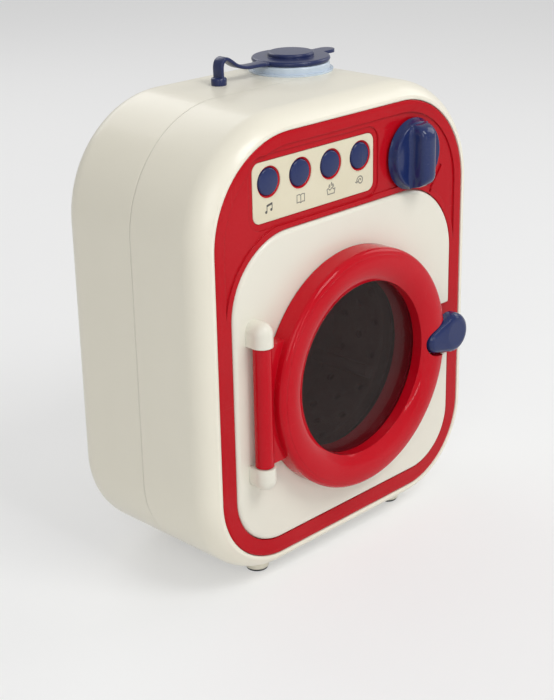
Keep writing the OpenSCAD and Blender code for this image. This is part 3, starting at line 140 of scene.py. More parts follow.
def turned_body(pairs, sides, place):
    """Vertices and faces of a turned body. The first (radius, height) pair is at its middle."""
    verts = [place(0.0, pairs[0][1], 0.0)] + circle_rows(pairs[1:], sides, place)
    faces = [(0, 1 + k, 1 + (k + 1) % sides) for k in range(sides)]
    faces += skin(len(pairs) - 1, sides, first=1, flip=True)
    faces.append(lid(len(verts) - sides, sides, flip=True))
    return verts, faces


def heading(path, i):
    """Direction of a path at one of its points."""
    return (path[min(i + 1, len(path) - 1)] - path[max(i - 1, 0)]).normalized()


def smooth_route(points, step, y):
    """Points every step mm along a smooth spline through (x, z) points at y, and its length."""
    pts = [Vector((p[0], y, p[1])) for p in points]
    ends = [pts[0] * 2 - pts[1]] + pts + [pts[-1] * 2 - pts[-2]]
    cuts, near = 24, 0.2  # straight bits in a span, and how close the last point may come
    dense = []
    for i in range(1, len(ends) - 2):
        a, b, c, d = ends[i - 1 : i + 3]
        for k in range(cuts):
            t = k / cuts
            square = (2 * a - 5 * b + 4 * c - d) * t * t
            cube = (3 * b - a - 3 * c + d) * t ** 3
            dense.append(0.5 * (2 * b + (c - a) * t + square + cube))
    dense.append(pts[-1])
    out, travelled, want = [dense[0]], 0.0, step
    for a, b in zip(dense, dense[1:]):
        length = (b - a).length
        while travelled + length >= want:
            out.append(a.lerp(b, (want - travelled) / length))
            want += step
        travelled += length
    if (out[-1] - dense[-1]).length > near:
        out.append(dense[-1])
    else:
        out[-1] = dense[-1]
    return out, travelled


# ---- Cord: the drain hose ----------------------------------------------------------

HOSE_Y = 17.45
HOSE_R = 9.0
HOSE_SIDES = 48
HOSE = [  # x, z in mm, from the port in the side up to the coupling
    (90.3, 34.4), (96.5, 37.3), (102, 41.2), (106.8, 46), (110.7, 51.6), (113.6, 57.7),
    (115.4, 64.3), (116, 71), (115.8, 80), (115, 91), (113.8, 103), (112.4, 115),
    (110.9, 128), (109.4, 141), (108, 152), (107, 161), (106.5, 170),
]
RIB_PITCH = 3.2
RIB_DEEP = 1.15
RIB_CREST = HOSE_R - 0.25  # inside the cord's stated radius
CUFF = 5.0  # plain length at either end
HOSE_STEP = RIB_PITCH / 8


def rib_radius(along, whole):
    """Corrugated wall: round crests, narrower grooves, plain cuffs at both ends."""
    left = whole - along
    if along < CUFF or left < CUFF:
        return RIB_CREST
    wave = 0.5 + 0.5 * math.cos((along - CUFF) / RIB_PITCH * 2 * math.pi)
    fade = min(1.0, (along - CUFF) / 2, (left - CUFF) / 2)
    return RIB_CREST - fade * RIB_DEEP * (1 - wave ** 0.6)


route, hose_length = smooth_route(HOSE, HOSE_STEP, HOSE_Y)
hose_points = []
for i, p in enumerate(route):
    side = Vector((0, 1, 0))
    up = side.cross(heading(route, i))
    r = rib_radius(i * HOSE_STEP, hose_length)
    for k in range(HOSE_SIDES):
        w = 2 * math.pi * k / HOSE_SIDES
        hose_points.append(p + (up * math.cos(w) + side * math.sin(w)) * r)
hose_faces = skin(len(route), HOSE_SIDES)
hose_faces.append(lid(0, HOSE_SIDES, flip=True))
hose_faces.append(lid(len(hose_points) - HOSE_SIDES, HOSE_SIDES))
hose = new_mesh("hose_ribbed", hose_points, hose_faces)
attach(hose, "machine")
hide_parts("drain_hose")

# ---- Materials ---------------------------------------------------------------------


def srgb(r, g, b):
    """Linear colour from 0-255 sRGB values."""
    out = []
    for v in (r, g, b):
        v /= 255
        out.append(v / 12.92 if v <= 0.04045 else ((v + 0.055) / 1.055) ** 2.4)
    return (*out, 1.0)


def lighter(colour, k):
    """The colour moved a share k of the way to white."""
    return tuple(min(1.0, c + (1 - c) * k) for c in colour[:3]) + (1.0,)


def darker(colour, k):
    """The colour moved a share k of the way to black."""
    return tuple(c * (1 - k) for c in colour[:3]) + (1.0,)


def seen_directly(tree):
    """1 for camera, glossy and transmission rays, 0 for the rays that carry the light."""
    path = tree.nodes.new("ShaderNodeLightPath")
    seen = path.outputs["Is Camera Ray"]
    for ray in ("Is Glossy Ray", "Is Transmission Ray"):
        larger = tree.nodes.new("ShaderNodeMath")
        larger.operation = "MAXIMUM"
        tree.links.new(larger.inputs[0], seen)
        tree.links.new(larger.inputs[1], path.outputs[ray])
        seen = larger.outputs[0]
    return seen


class Graph:
    """A node tree with short calls for the nodes that the finishes use."""

    def __init__(self, name):
        self.material = bpy.data.materials.new(name)
        self.material.use_nodes = True
        self.tree = self.material.node_tree
        self.shader = self.tree.nodes["Principled BSDF"]
        self.place = self.add("TexCoord").outputs["Object"]

    def add(self, kind, **settings):
        """A new node with its settings."""
        node = self.tree.nodes.new("ShaderNode" + kind)
        for key, value in settings.items():
            setattr(node, key, value)
        return node

    def put(self, socket, value):
        """Links an output to a socket, or sets the socket's number or colour."""
        if hasattr(value, "is_output"):
            self.tree.links.new(value, socket)
        else:
            socket.default_value = value

    def set(self, **values):
        """Sets or links the shader's sockets, with _ for each space."""
        for key, value in values.items():
            self.put(self.shader.inputs[key.replace("_", " ")], value)

    def scaled(self, x, y, z):
        """Object coordinates stretched by axis."""
        node = self.add("Mapping")
        self.put(node.inputs["Vector"], self.place)
        node.inputs["Scale"].default_value = (x, y, z)
        return node.outputs["Vector"]

    def noise(self, scale, detail=3.0, rough=0.5, warp=0.0, vector=None):
        """Noise in object coordinates, or in the vector."""
        node = self.add("TexNoise")
        self.put(node.inputs["Vector"], self.place if vector is None else vector)
        node.inputs["Scale"].default_value = scale
        node.inputs["Detail"].default_value = detail
        node.inputs["Roughness"].default_value = rough
        node.inputs["Distortion"].default_value = warp
        return node.outputs["Fac"]

    def math(self, operation, a, b=0.0, clamp=False):
        """Two values through a Math node."""
        node = self.add("Math", operation=operation, use_clamp=clamp)
        self.put(node.inputs[0], a)
        self.put(node.inputs[1], b)
        return node.outputs[0]

    def span(self, value, low, high, to_low=0.0, to_high=1.0):
        """Maps low..high to to_low..to_high, clamped."""
        node = self.add("MapRange", clamp=True)
        self.put(node.inputs["Value"], value)
        for socket, number in (
            ("From Min", low), ("From Max", high), ("To Min", to_low), ("To Max", to_high),
        ):
            node.inputs[socket].default_value = number
        return node.outputs["Result"]

    def mix(self, fac, a, b):
        """Colour a turned into b by the factor."""
        node = self.add("Mix", data_type="RGBA", blend_type="MIX")
        self.put(node.inputs[0], fac)
        self.put(node.inputs[6], a)
        self.put(node.inputs[7], b)
        return node.outputs[2]

    def bump(self, height, depth, normal=None):
        """Normal of a relief, depth in metres."""
        node = self.add("Bump")
        node.inputs["Strength"].default_value = 1.0
        node.inputs["Distance"].default_value = depth
        self.put(node.inputs["Height"], height)
        if normal is not None:
            self.put(node.inputs["Normal"], normal)
        return node.outputs["Normal"]

    def soft_edge(self, radius):
        """Normal that rolls over sharp edges, and a mask that is 1 along them."""
        bevel = self.add("Bevel", samples=6)
        bevel.inputs["Radius"].default_value = radius
        dot = self.add("VectorMath", operation="DOT_PRODUCT")
        self.put(dot.inputs[0], bevel.outputs["Normal"])
        self.put(dot.inputs[1], self.add("NewGeometry").outputs["Normal"])
        turned = self.math("SUBTRACT", 1.0, dot.outputs["Value"])
        return bevel.outputs["Normal"], self.span(turned, 0.01, 0.20)

    def scratches(self, x, y, z, level=0.66):
        """Sparse fine lines, drawn out along the axis with the smallest scale."""
        lines = self.noise(1.0, 2, 0.6, 0.3, self.scaled(x, y, z))
        patch = self.noise(28, 2, 0.5)
        return self.math(
            "MULTIPLY", self.span(lines, level, level + 0.06), self.span(patch, 0.45, 0.6)
        )


DUST = srgb(200, 194, 182)
HAZE_SPREAD = 0.06  # share by which the handling haze moves the roughness


def plastic(
    name, colour, rough=0.3, coat=0.0, texture=0.0, edge=0.35, wear=0.25, mottle=0.05,
    specular=0.5, scuffs=1.0, dust=0.0,
):
    """Moulded plastic: colour drift, rubbed edges, hairlines, handling haze and mould texture."""
    g = Graph(name)
    drift = g.noise(22, 2, 0.5)
    fine = g.noise(900, 2, 0.6)
    normal, rim = g.soft_edge(edge * MM)
    hair = g.math(
        "MAXIMUM", g.scratches(60, 900, 2600), g.scratches(2400, 700, 45), clamp=True
    )
    haze = g.noise(48, 4, 0.62, 0.4)
    base = g.mix(g.span(drift, 0.3, 0.7), darker(colour, mottle), lighter(colour, mottle * 0.35))
    base = g.mix(g.span(fine, 0.35, 0.75, 0.0, 0.35), base, darker(colour, mottle * 1.5))
    rubbed = g.math("MULTIPLY", rim, g.span(g.noise(160, 3, 0.6), 0.42, 0.62, 0.0, wear))
    base = g.mix(rubbed, base, lighter(colour, 0.35))
    base = g.mix(g.math("MULTIPLY", hair, 0.16 * scuffs), base, lighter(colour, 0.5))
    if dust:
        up = g.add("SeparateXYZ")
        g.put(up.inputs[0], g.add("NewGeometry").outputs["Normal"])
        lying = g.math("MULTIPLY", g.span(up.outputs["Z"], 0.6, 1.0), g.span(haze, 0.4, 0.7))
        base = g.mix(g.math("MULTIPLY", lying, dust), base, DUST)
    hazy = g.span(haze, 0.3, 0.75, rough * (1 - HAZE_SPREAD), rough * (1 + HAZE_SPREAD))
    rough_map = g.math("ADD", hazy, g.math("MULTIPLY", hair, 0.12 * scuffs))
    rough_map = g.math("ADD", rough_map, g.math("MULTIPLY", rubbed, 0.2), clamp=True)
    waves = g.math("MULTIPLY", g.noise(260, 2, 0.5), 0.5)
    height = g.math("ADD", waves, g.math("MULTIPLY", fine, texture))
    height = g.math("SUBTRACT", height, g.math("MULTIPLY", hair, 0.12 * scuffs))
    g.set(Base_Color=base, Roughness=rough_map, Normal=g.bump(height, 0.03 * MM, normal))
    g.set(Specular_IOR_Level=specular, Coat_Weight=coat, Coat_Roughness=0.06)
    return g.material


def metal(name, colour, rough, metallic=1.0, turned=None, relief=0.012):
    """Metal with a drawn grain, dull patches and bright edges.

    turned is the axis (x, z) of lathe marks, which then take the place of the grain.
    """
    g = Graph(name)
    if turned is None:
        grain = g.noise(1.0, 3, 0.6, 0.0, g.scaled(300, 4200, 300))
    else:
        marks = 2600.0  # per metre, outwards and along the axis
        shifted = g.add("Mapping")
        g.put(shifted.inputs["Vector"], g.place)
        shifted.inputs["Location"].default_value = (-turned[0], 0, -turned[1])
        flat = g.add("VectorMath", operation="MULTIPLY")
        g.put(flat.inputs[0], shifted.outputs["Vector"])
        flat.inputs[1].default_value = (1, 0, 1)
        length = g.add("VectorMath", operation="LENGTH")
        g.put(length.inputs[0], flat.outputs["Vector"])
        parts = g.add("SeparateXYZ")
        g.put(parts.inputs[0], g.place)
        joined = g.add("CombineXYZ")
        g.put(joined.inputs[0], g.math("MULTIPLY", length.outputs["Value"], marks))
        g.put(joined.inputs[1], g.math("MULTIPLY", parts.outputs["Y"], marks))
        grain = g.noise(1.0, 3, 0.65, 0.0, joined.outputs["Vector"])
    normal, rim = g.soft_edge(0.2 * MM)
    patch = g.noise(70, 4, 0.6, 0.3)
    base = g.mix(g.span(patch, 0.42, 0.75, 0.0, 0.25), colour, darker(colour, 0.45))
    base = g.mix(g.span(grain, 0.4, 0.7, 0.0, 0.2), base, lighter(colour, 0.25))
    base = g.mix(g.math("MULTIPLY", rim, 0.5), base, lighter(colour, 0.4))
    dull = g.span(patch, 0.3, 0.7, rough * 0.8, rough * 1.35)
    rough_map = g.math("ADD", dull, g.span(grain, 0.3, 0.7, -0.05, 0.08), clamp=True)
    g.set(Base_Color=base, Roughness=rough_map, Normal=g.bump(grain, relief * MM, normal))
    g.set(Metallic=metallic)
    return g.material


def smoky_window():
    """Thin smoky sheet: dark tint, polished face with faint wiping marks and a few hairlines."""
    g = Graph("smoky_window")
    wipe = g.noise(1.0, 3, 0.6, 0.4, g.scaled(90, 30, 260))
    hair = g.scratches(70, 900, 2400, 0.68)
    smear = g.noise(34, 4, 0.6, 0.5)
    tint = g.mix(g.span(smear, 0.35, 0.7), srgb(34, 17, 14), srgb(40, 21, 17))
    rough_map = g.math("ADD", g.span(smear, 0.4, 0.75, 0.03, 0.06), g.math("MULTIPLY", hair, 0.06))
    alpha = g.math("ADD", g.span(wipe, 0.4, 0.7, 0.40, 0.42), g.math("MULTIPLY", hair, 0.02))
    g.set(Base_Color=tint, Roughness=rough_map, Alpha=alpha, Normal=g.bump(wipe, 0.001 * MM))
    g.set(Specular_IOR_Level=0.2, Coat_Weight=0.08, Coat_Roughness=0.03)
    return g.material


def label_paper(colour):
    """Printed matt label with paper fibres and slightly rubbed rims."""
    g = Graph("label_print")
    fibre = g.noise(1.0, 4, 0.7, 0.6, g.scaled(1400, 1400, 900))
    tone = g.noise(40, 3, 0.5)
    dots = g.noise(3800, 1, 0.5)
    normal, rim = g.soft_edge(0.25 * MM)
    base = g.mix(g.span(tone, 0.3, 0.7), darker(colour, 0.03), lighter(colour, 0.08))
    base = g.mix(g.span(dots, 0.5, 0.75, 0.0, 0.12), base, darker(colour, 0.2))
    base = g.mix(g.math("MULTIPLY", rim, 0.35), base, lighter(colour, 0.4))
    g.set(
        Base_Color=base,
        Roughness=g.span(fibre, 0.3, 0.7, 0.38, 0.55),
        Normal=g.bump(fibre, 0.01 * MM, normal),
    )
    return g.material


def printed_ink(name, tone):
    """Screen-printed grey, thin and a little broken up."""
    g = Graph(name)
    worn = g.noise(1600, 3, 0.7)
    g.set(
        Base_Color=g.mix(g.span(worn, 0.5, 0.75, 0.0, 0.55), tone, lighter(tone, 0.25)),
        Roughness=g.span(worn, 0.3, 0.7, 0.4, 0.6),
        Normal=g.bump(worn, 0.01 * MM),
    )
    return g.material


def hose_plastic(colour):
    """Soft blown hose: milky wall with specks and a little dirt."""
    g = Graph("hose_wall")
    cloud = g.noise(60, 3, 0.5, 0.3)
    speck = g.noise(1300, 3, 0.6)
    grime = g.noise(150, 4, 0.65, 0.4)
    base = g.mix(g.span(cloud, 0.3, 0.7), darker(colour, 0.05), lighter(colour, 0.15))
    base = g.mix(g.span(grime, 0.55, 0.75, 0.0, 0.16), base, srgb(172, 164, 146))
    g.set(
        Base_Color=base,
        Roughness=g.span(speck, 0.3, 0.7, 0.36, 0.52),
        Normal=g.bump(speck, 0.02 * MM),
    )
    g.set(
        Subsurface_Weight=0.12,
        Subsurface_Radius=(0.004, 0.004, 0.003),
        Subsurface_Scale=1.0,
    )
    return g.material


def circuit_green():
    """Solder mask over copper tracks."""
    g = Graph("circuit_green")
    tracks = g.add("TexBrick")
    g.put(tracks.inputs["Vector"], g.scaled(260, 260, 260))
    tracks.inputs["Color1"].default_value = srgb(16, 84, 46)
    tracks.inputs["Color2"].default_value = srgb(20, 92, 50)
    tracks.inputs["Mortar"].default_value = srgb(38, 122, 64)
    tracks.inputs["Mortar Size"].default_value = 0.05
    speck = g.noise(700, 3, 0.6)
    base = g.mix(g.span(speck, 0.4, 0.8, 0.0, 0.3), tracks.outputs["Color"], srgb(10, 60, 34))
    g.set(
        Base_Color=base,
        Roughness=g.span(speck, 0.3, 0.7, 0.25, 0.4),
        Normal=g.bump(tracks.outputs["Fac"], 0.03 * MM, g.soft_edge(0.15 * MM)[0]),
    )
    return g.material


def cell_jacket():
    """Battery jacket: dark sleeve with a copper end, scuffed by the contacts."""
    g = Graph("cell_jacket")
    parts = g.add("SeparateXYZ")
    g.put(parts.inputs[0], g.place)
    band = g.span(parts.outputs["X"], 0.0120, 0.0124)
    scuff = g.noise(1.0, 4, 0.7, 0.2, g.scaled(120, 900, 900))
    base = g.mix(band, srgb(34, 36, 42), srgb(176, 112, 66))
    base = g.mix(g.span(scuff, 0.6, 0.75, 0.0, 0.5), base, srgb(150, 150, 152))
    g.set(
        Base_Color=base,
        Roughness=g.span(scuff, 0.3, 0.7, 0.25, 0.4),
        Normal=g.bump(scuff, 0.01 * MM, g.soft_edge(0.4 * MM)[0]),
        Metallic=0.6,
    )
    return g.material


def lamp_board():
    """White ring board, a little warmer in patches."""
    g = Graph("lamp_board")
    speck = g.noise(500, 3, 0.6)
    g.set(
        Base_Color=g.mix(g.span(speck, 0.4, 0.7), srgb(226, 222, 206), srgb(238, 226, 190)),
        Roughness=g.span(speck, 0.3, 0.7, 0.3, 0.45),
        Normal=g.bump(speck, 0.02 * MM, g.soft_edge(0.2 * MM)[0]),
    )
    return g.material


shell = plastic(
    "ivory_shell", srgb(240, 235, 218), rough=0.32, coat=0.12, texture=0.30, edge=1.2,
    wear=0.06, mottle=0.015, specular=0.4, scuffs=0.10, dust=0.02,
)
panel = plastic(
    "ivory_panel", srgb(230, 227, 213), rough=0.30, coat=0.12, texture=0.20,
    wear=0.06, mottle=0.012, specular=0.4, scuffs=0.10,
)
red = plastic(
    "crimson_gloss", srgb(184, 0, 20), rough=0.13, coat=0.06, texture=0.06, edge=0.5,
    wear=0.05, mottle=0.03, specular=0.10, scuffs=0.2,
)
red_ring = plastic(
    "crimson_ring", srgb(192, 0, 24), rough=0.11, coat=0.10, texture=0.06,
    wear=0.05, mottle=0.03, specular=0.12, scuffs=0.2,
)
# painted light: the sleeve's crimson is lighter and pinker than the frame's, so it reads as lit
# through the dark window
sleeve_red_painted_light = plastic(
    "crimson_sleeve_painted_light", srgb(226, 34, 62), rough=0.34, edge=0.3,
    wear=0.1, mottle=0.03, specular=0.3, scuffs=0.0,
)
navy = plastic(
    "navy_gloss", srgb(16, 36, 90), rough=0.13, coat=0.2, texture=0.08,
    wear=0.10, specular=0.24, scuffs=0.25,
)
navy_soft = plastic(
    "navy_cap", srgb(22, 36, 86), rough=0.30, coat=0.1, texture=0.3, edge=0.4,
    wear=0.12, mottle=0.06, specular=0.35, scuffs=0.4, dust=0.05,
)
collar = plastic(
    "pale_blue", srgb(198, 212, 226), rough=0.26, coat=0.25, texture=0.15, edge=0.4,
    wear=0.1, mottle=0.03,
)
white = plastic(
    "white_inner", srgb(226, 226, 222), rough=0.42, texture=0.5, edge=0.3, wear=0.1, mottle=0.04
)
# painted shade: the tub is darkened so the inside of the housing reads as shadowed through the
# window
tub_grey_painted_shade = plastic(
    "grey_tub_painted_shade", srgb(84, 80, 80), rough=0.5, texture=0.5, edge=0.3, wear=0.1, mottle=0.04
)
gear = plastic("gear_acetal", srgb(224, 216, 192), rough=0.38, texture=0.3, edge=0.15, wear=0.2)
rubber = plastic(
    "grey_rubber", srgb(46, 42, 42), rough=0.62, texture=0.9, edge=0.3,
    wear=0.1, mottle=0.10, specular=0.35, scuffs=0.3,
)
foot = plastic(
    "dark_rubber", srgb(48, 48, 50), rough=0.7, texture=1.0, edge=0.3,
    wear=0.1, mottle=0.12, specular=0.3, scuffs=0.3,
)
black = plastic(
    "black_plastic", srgb(30, 30, 32), rough=0.45, texture=0.6, edge=0.25, mottle=0.10
)
steel = metal("steel_zinc", (0.60, 0.61, 0.62, 1), rough=0.28)
brass = metal("brass", (0.72, 0.52, 0.22, 1), rough=0.32)
nickel = metal("nickel_strip", (0.66, 0.64, 0.58, 1), rough=0.25)
# painted shade: the silver drum is painted dark brown-grey so the inside of the housing reads as
# shadowed through the window
drum_metal_painted_shade = metal(
    "drum_silver_painted_shade", (0.19, 0.165, 0.16, 1), rough=0.45, metallic=0.5, turned=(0.0, 0.093),
    relief=0.0006,
)
window = smoky_window()
label = label_paper(srgb(222, 214, 186))
dark_ink = printed_ink("dark_ink", srgb(78, 76, 72))
pale_ink = printed_ink("pale_ink", srgb(134, 131, 120))
hose_wall = hose_plastic(srgb(222, 219, 208))
board = circuit_green()
cell = cell_jacket()
lamps = lamp_board()

FINISH = {
    shell: ["front_shell", "rear_shell", "battery_door"],
    panel: ["door_surround"],
    red: ["front_bezel"],
    red_ring: ["door_ring"],
    sleeve_red_painted_light: ["door_sleeve"],
    navy: [
        "latch_handle", "program_knob", "button_1", "button_2", "button_3", "button_4",
        "hose_coupling",
    ],
    navy_soft: ["filler_cap", "cap_tether"],
    collar: ["filler_collar"],
    tub_grey_painted_shade: ["tub"],
    white: [
        "filler_funnel", "drain_pipe", "hose_port", "latch_keeper",
        "gear_frame_front", "gear_frame_rear", "battery_box",
    ],
    gear: ["drum_gear", "idler_gear_1", "idler_gear_2", "motor_pinion", "knob_shaft"],
    rubber: ["mouth_seal", "button_pad"],
    foot: ["foot_pads"],
    black: ["dial_switch", "speaker", "hose_hook"],
    steel: [
        "housing_screws", "door_screws", "hinge_pin", "latch_pin", "latch_spring",
        "board_screws", "tub_screws", "drum_shaft", "gear_axles", "gear_screws",
        "battery_door_screw", "motor",
    ],
    brass: ["drum_bearing"],
    nickel: ["battery_contacts"],
    drum_metal_painted_shade: ["drum"],
    window: ["door_window"],
    label: ["control_label"],
    board: ["circuit_board"],
    cell: ["battery_cells"],
    lamps: ["light_ring"],
}

for material, names in FINISH.items():
    for name in names:
        paint(NODE[name], material)
paint(hose, hose_wall)

# ---- Pictograms on the label -------------------------------------------------------

LABEL_D = 1.3  # depth of the label's face
INK_D = LABEL_D - 0.06
INK_FOOT_D = LABEL_D + 0.02
INK_STEP = 0.002  # by which a stroke lies over the one before it
BUTTON_X = [-48.45, -29.15, -9.85, 9.45]
BUTTON_Z = 189.6
ICON_Z = 178.3
LINE = 0.42  # stroke width


def stroke(points, width, closed=False):
    """Quads of a flat stroke through 2D points."""
    quads = []
    n = len(points)
    pairs = [(i, (i + 1) % n) for i in range(n if closed else n - 1)]
    for a, b in pairs:
        p, q = Vector(points[a]), Vector(points[b])
        along = (q - p).normalized() * width * 0.35
        side = Vector((-(q - p).y, (q - p).x)).normalized() * width / 2
        quads.append([p - along + side, q + along + side, q + along - side, p - along - side])
    return quads


def spot(cx, cz, r, a):
    """Point at radius r and angle a (degrees) round a middle."""
    return cx + r * math.cos(math.radians(a)), cz + r * math.sin(math.radians(a))


def disc(cx, cz, r, n=14):
    """One round polygon."""
    return [[Vector(spot(cx, cz, r, 360 * k / n)) for k in range(n)]]


def arc(cx, cz, r, a0, a1, n, grow=0.0):
    """Points along an arc, whose radius may grow into a spiral."""
    return [spot(cx, cz, r + grow * k / n, a0 + (a1 - a0) * k / n) for k in range(n + 1)]


def notes_icon():
    """Two joined notes."""
    out = stroke([(-1.5, -1.7), (-1.5, 1.5), (1.9, 2.2), (1.9, -1.0)], LINE)
    out += stroke([(-1.5, 1.0), (1.9, 1.7)], LINE * 1.6)
    return out + disc(-2.05, -1.75, 0.72) + disc(1.35, -1.05, 0.72)


def book_icon():
    """An open book."""
    left = [(0, -1.9), (-0.9, -1.45), (-2.3, -1.6), (-2.3, 1.7), (-0.9, 1.85), (0, 1.4)]
    right = [(-x, z) for x, z in left]
    return stroke(left, LINE) + stroke(right, LINE) + stroke([(0, -1.9), (0, 1.4)], LINE)


def basin_icon():
    """A basin of water with three drops over it."""
    out = stroke([(-2.3, 0.1), (-1.9, -1.9), (1.9, -1.9), (2.3, 0.1)], LINE)
    wave = [(-2.3 + 4.6 * k / 16, 0.1 + 0.35 * math.sin(k * math.pi / 4)) for k in range(17)]
    out += stroke(wave, LINE)
    for x, z in ((-0.9, 1.25), (0.35, 1.9), (1.25, 1.15)):
        out += stroke(arc(x, z, 0.38, -160, -20, 8) + [(x, z + 0.75)], LINE * 0.8, True)
    return out


def spin_icon():
    """A spiral with an arrow at its end."""
    end = spot(0, 0, 1.9, 200)
    head = [(end[0] - 0.75, end[1] + 0.35), end, (end[0] + 0.7, end[1] + 0.55)]
    return stroke(arc(0, 0, 0.35, 0, 560, 26, 1.55), LINE) + stroke(head, LINE)


def flat_print(name, cx, cz, polygons, scale, ink):
    """Thin raised ink, every polygon a separate closed prism a hair apart in height."""
    verts, faces = [], []
    for i, polygon in enumerate(polygons):
        area = sum(
            a.x * b.y - b.x * a.y for a, b in zip(polygon, polygon[1:] + polygon[:1])
        )
        loop = polygon if area > 0 else polygon[::-1]
        n, base = len(loop), len(verts)
        for depth in (INK_D - INK_STEP * (i % 5), INK_FOOT_D):
            verts += [(cx + p.x * scale, FRONT_Y + depth, cz + p.y * scale) for p in loop]
        faces += [lid(base, n), lid(base + n, n, flip=True)]
        faces += skin(2, n, first=base, flip=True)
    obj = new_mesh(name, verts, faces, smooth=False)
    paint(obj, ink)
    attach(obj, "machine")


ICONS = (  # picture, scale, ink
    (notes_icon, 0.9, dark_ink), (book_icon, 1.02, pale_ink), (basin_icon, 1.12, pale_ink),
    (spin_icon, 1.22, pale_ink),
)
for i, (x, (icon, scale, ink)) in enumerate(zip(BUTTON_X, ICONS), 1):
    flat_print(f"label_icon_{i}", x, ICON_Z, icon(), scale, ink)

# ---- Frame edge, programme knob and buttons ----------------------------------------

FRAME_TOP_R, FRAME_LOW_R = 45.0, 37.0  # corner radii of the red frame
CORNER_CUTS = 36
EDGE_R = 0.9
EDGE_IN, EDGE_BACK = 0.8, 0.93  # middle of the edge's rounding, inside and behind the frame
KNOB_X, KNOB_Z = 43.4, 184.2
KNOB_DISH = [  # radius, height
    (0.0, 5.1), (3, 5.1), (6, 5.06), (8, 4.98), (10, 4.88), (12, 4.8), (13.4, 4.78),
    (14.2, 4.82), (14.7, 4.85), (15.0, 4.82), (15.22, 4.7), (15.38, 4.5), (15.5, 4.2),
    (15.62, 3.7), (15.8, 3.0), (16.05, 2.2), (16.35, 1.5), (16.6, 1.05), (16.76, 0.82),
    (16.8, 0.66), (16.7, 0.48), (16.5, 0.4),
]
BAR_FOOT, BAR_TOP = 4.6, 12.4
BAR_FLANK = [  # half width, height
    (7.3, BAR_FOOT), (7.1, 4.95), (6.6, 5.14), (6.15, 5.4), (5.8, 5.8), (5.5, 6.4),
    (5.3, 7.3), (5.15, 8.3), (5.0, 9.3), (4.78, 10.2), (4.42, 10.95), (3.9, 11.5),
    (3.2, 11.92), (2.2, 12.22), (1.1, 12.36),
]
BAR_RUN, BAR_END = 8.4, 6.4  # half its straight length, and each rolled-down end
CAP_DOME = [(r, 0.8 + 0.014 * r * r) for r in (0.0, 1.5, 3.0, 4.2, 5.0, 5.4)]  # radius, depth
CAP_SIDE = [
    (5.65, 1.38), (5.84, 1.6), (5.96, 1.88), (6.0, 2.2), (6.0, 4.4), (7.55, 4.4),
    (7.55, 5.4), (2.0, 5.4),
]
# closed profiles round a button's hole, radius and depth
FILM_EDGE = [(7.38, 1.78), (7.38, 1.29), (7.0, 1.285), (6.95, 1.31), (6.93, 1.36), (6.93, 1.78)]
BUTTON_LIP = [
    (6.96, 2.6), (6.96, 1.62), (6.86, 1.6), (6.3, 1.95), (6.16, 2.05), (6.12, 2.2), (6.12, 2.6),
]
KNOB_SIDES, CAP_SIDES, HOLE_SIDES = 128, 96, 72  # flats round each turned shape
BAR_CUTS = 40  # stations along the grip bar, closer together near its ends


def frame_edge():
    """Outer edge of the red frame at a small radius, so that the housing's rim lies close by."""
    low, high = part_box("front_bezel")
    half, z_low, z_high = high[0] / MM, low[2] / MM, high[2] / MM
    top_x, top_z = half - FRAME_TOP_R, z_high - FRAME_TOP_R
    low_x, low_z = half - FRAME_LOW_R, z_low + FRAME_LOW_R
    rays = []
    for cx, cz, r, first in (
        (top_x, top_z, FRAME_TOP_R, 0), (-top_x, top_z, FRAME_TOP_R, 90),
        (-low_x, low_z, FRAME_LOW_R, 180), (low_x, low_z, FRAME_LOW_R, 270),
    ):
        for k in range(CORNER_CUTS + 1):
            a = math.radians(first + 90 * k / CORNER_CUTS)
            rays.append((cx, cz, r, math.cos(a), math.sin(a)))
    section = [(0.1, 3.4)]  # mm outside the frame's outline, depth
    for t in range(0, 91, 15):
        a = math.radians(t)
        section.append((-EDGE_IN + EDGE_R * math.cos(a), EDGE_BACK - EDGE_R * math.sin(a)))
    section += [(-1.8, -0.01), (-2.9, -0.01), (-3.6, 0.06), (-3.6, 1.0), (-0.8, 3.4)]
    verts = []
    for out, d in section:
        verts += [(cx + (r + out) * c, FRONT_Y + d, cz + (r + out) * s) for cx, cz, r, c, s in rays]
    obj = new_mesh("frame_edge", verts, skin(len(section), len(rays), closed=True))
    paint(obj, red)
    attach(obj, "machine")


def knob_grip():
    """Round dished knob with a thick grip bar across it, its flanks steep, its ends rolled."""
    verts, faces = turned_body(KNOB_DISH, KNOB_SIDES, about_front(KNOB_X, KNOB_Z))
    across = [(-u, h) for u, h in BAR_FLANK] + [(0.0, BAR_TOP)] + BAR_FLANK[::-1]
    start, n = len(verts), len(across)
    for k in range(BAR_CUTS + 1):
        v = math.sin(math.pi / 2 * (2 * k / BAR_CUTS - 1)) * (BAR_RUN + BAR_END)
        end = min(max((abs(v) - BAR_RUN) / BAR_END, 0.0), 1.0)
        tall = max(1 - end ** 2.2, 0.0004) ** 0.5
        narrow = 1 - 0.16 * end ** 2
        for u, h in across:
            y = FRONT_Y - BAR_FOOT - (h - BAR_FOOT) * tall
            verts.append((KNOB_X + u * narrow, y, KNOB_Z + v))
    faces += skin(BAR_CUTS + 1, n, first=start)
    faces += [lid(start, n, flip=True), lid(len(verts) - n, n)]
    obj = new_mesh("knob_grip", verts, faces)
    paint(obj, navy)
    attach(obj, "dial")
    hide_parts("program_knob")


def button_cap(number, x, z):
    """Domed push button, a little smaller than its hole, its flange and stem behind the frame."""
    node = NODE[f"button_{number}"]
    stem = max((node.matrix_world @ Vector(c)).y for c in node.bound_box) / MM - FRONT_Y
    profile = [(r, -d) for r, d in CAP_DOME + CAP_SIDE + [(2.0, stem)]]
    obj = new_mesh(f"button_cap_{number}", *turned_body(profile, CAP_SIDES, about_front(x, z)))
    paint(obj, navy)
    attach(obj, f"push_{number}")
    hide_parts(f"button_{number}")


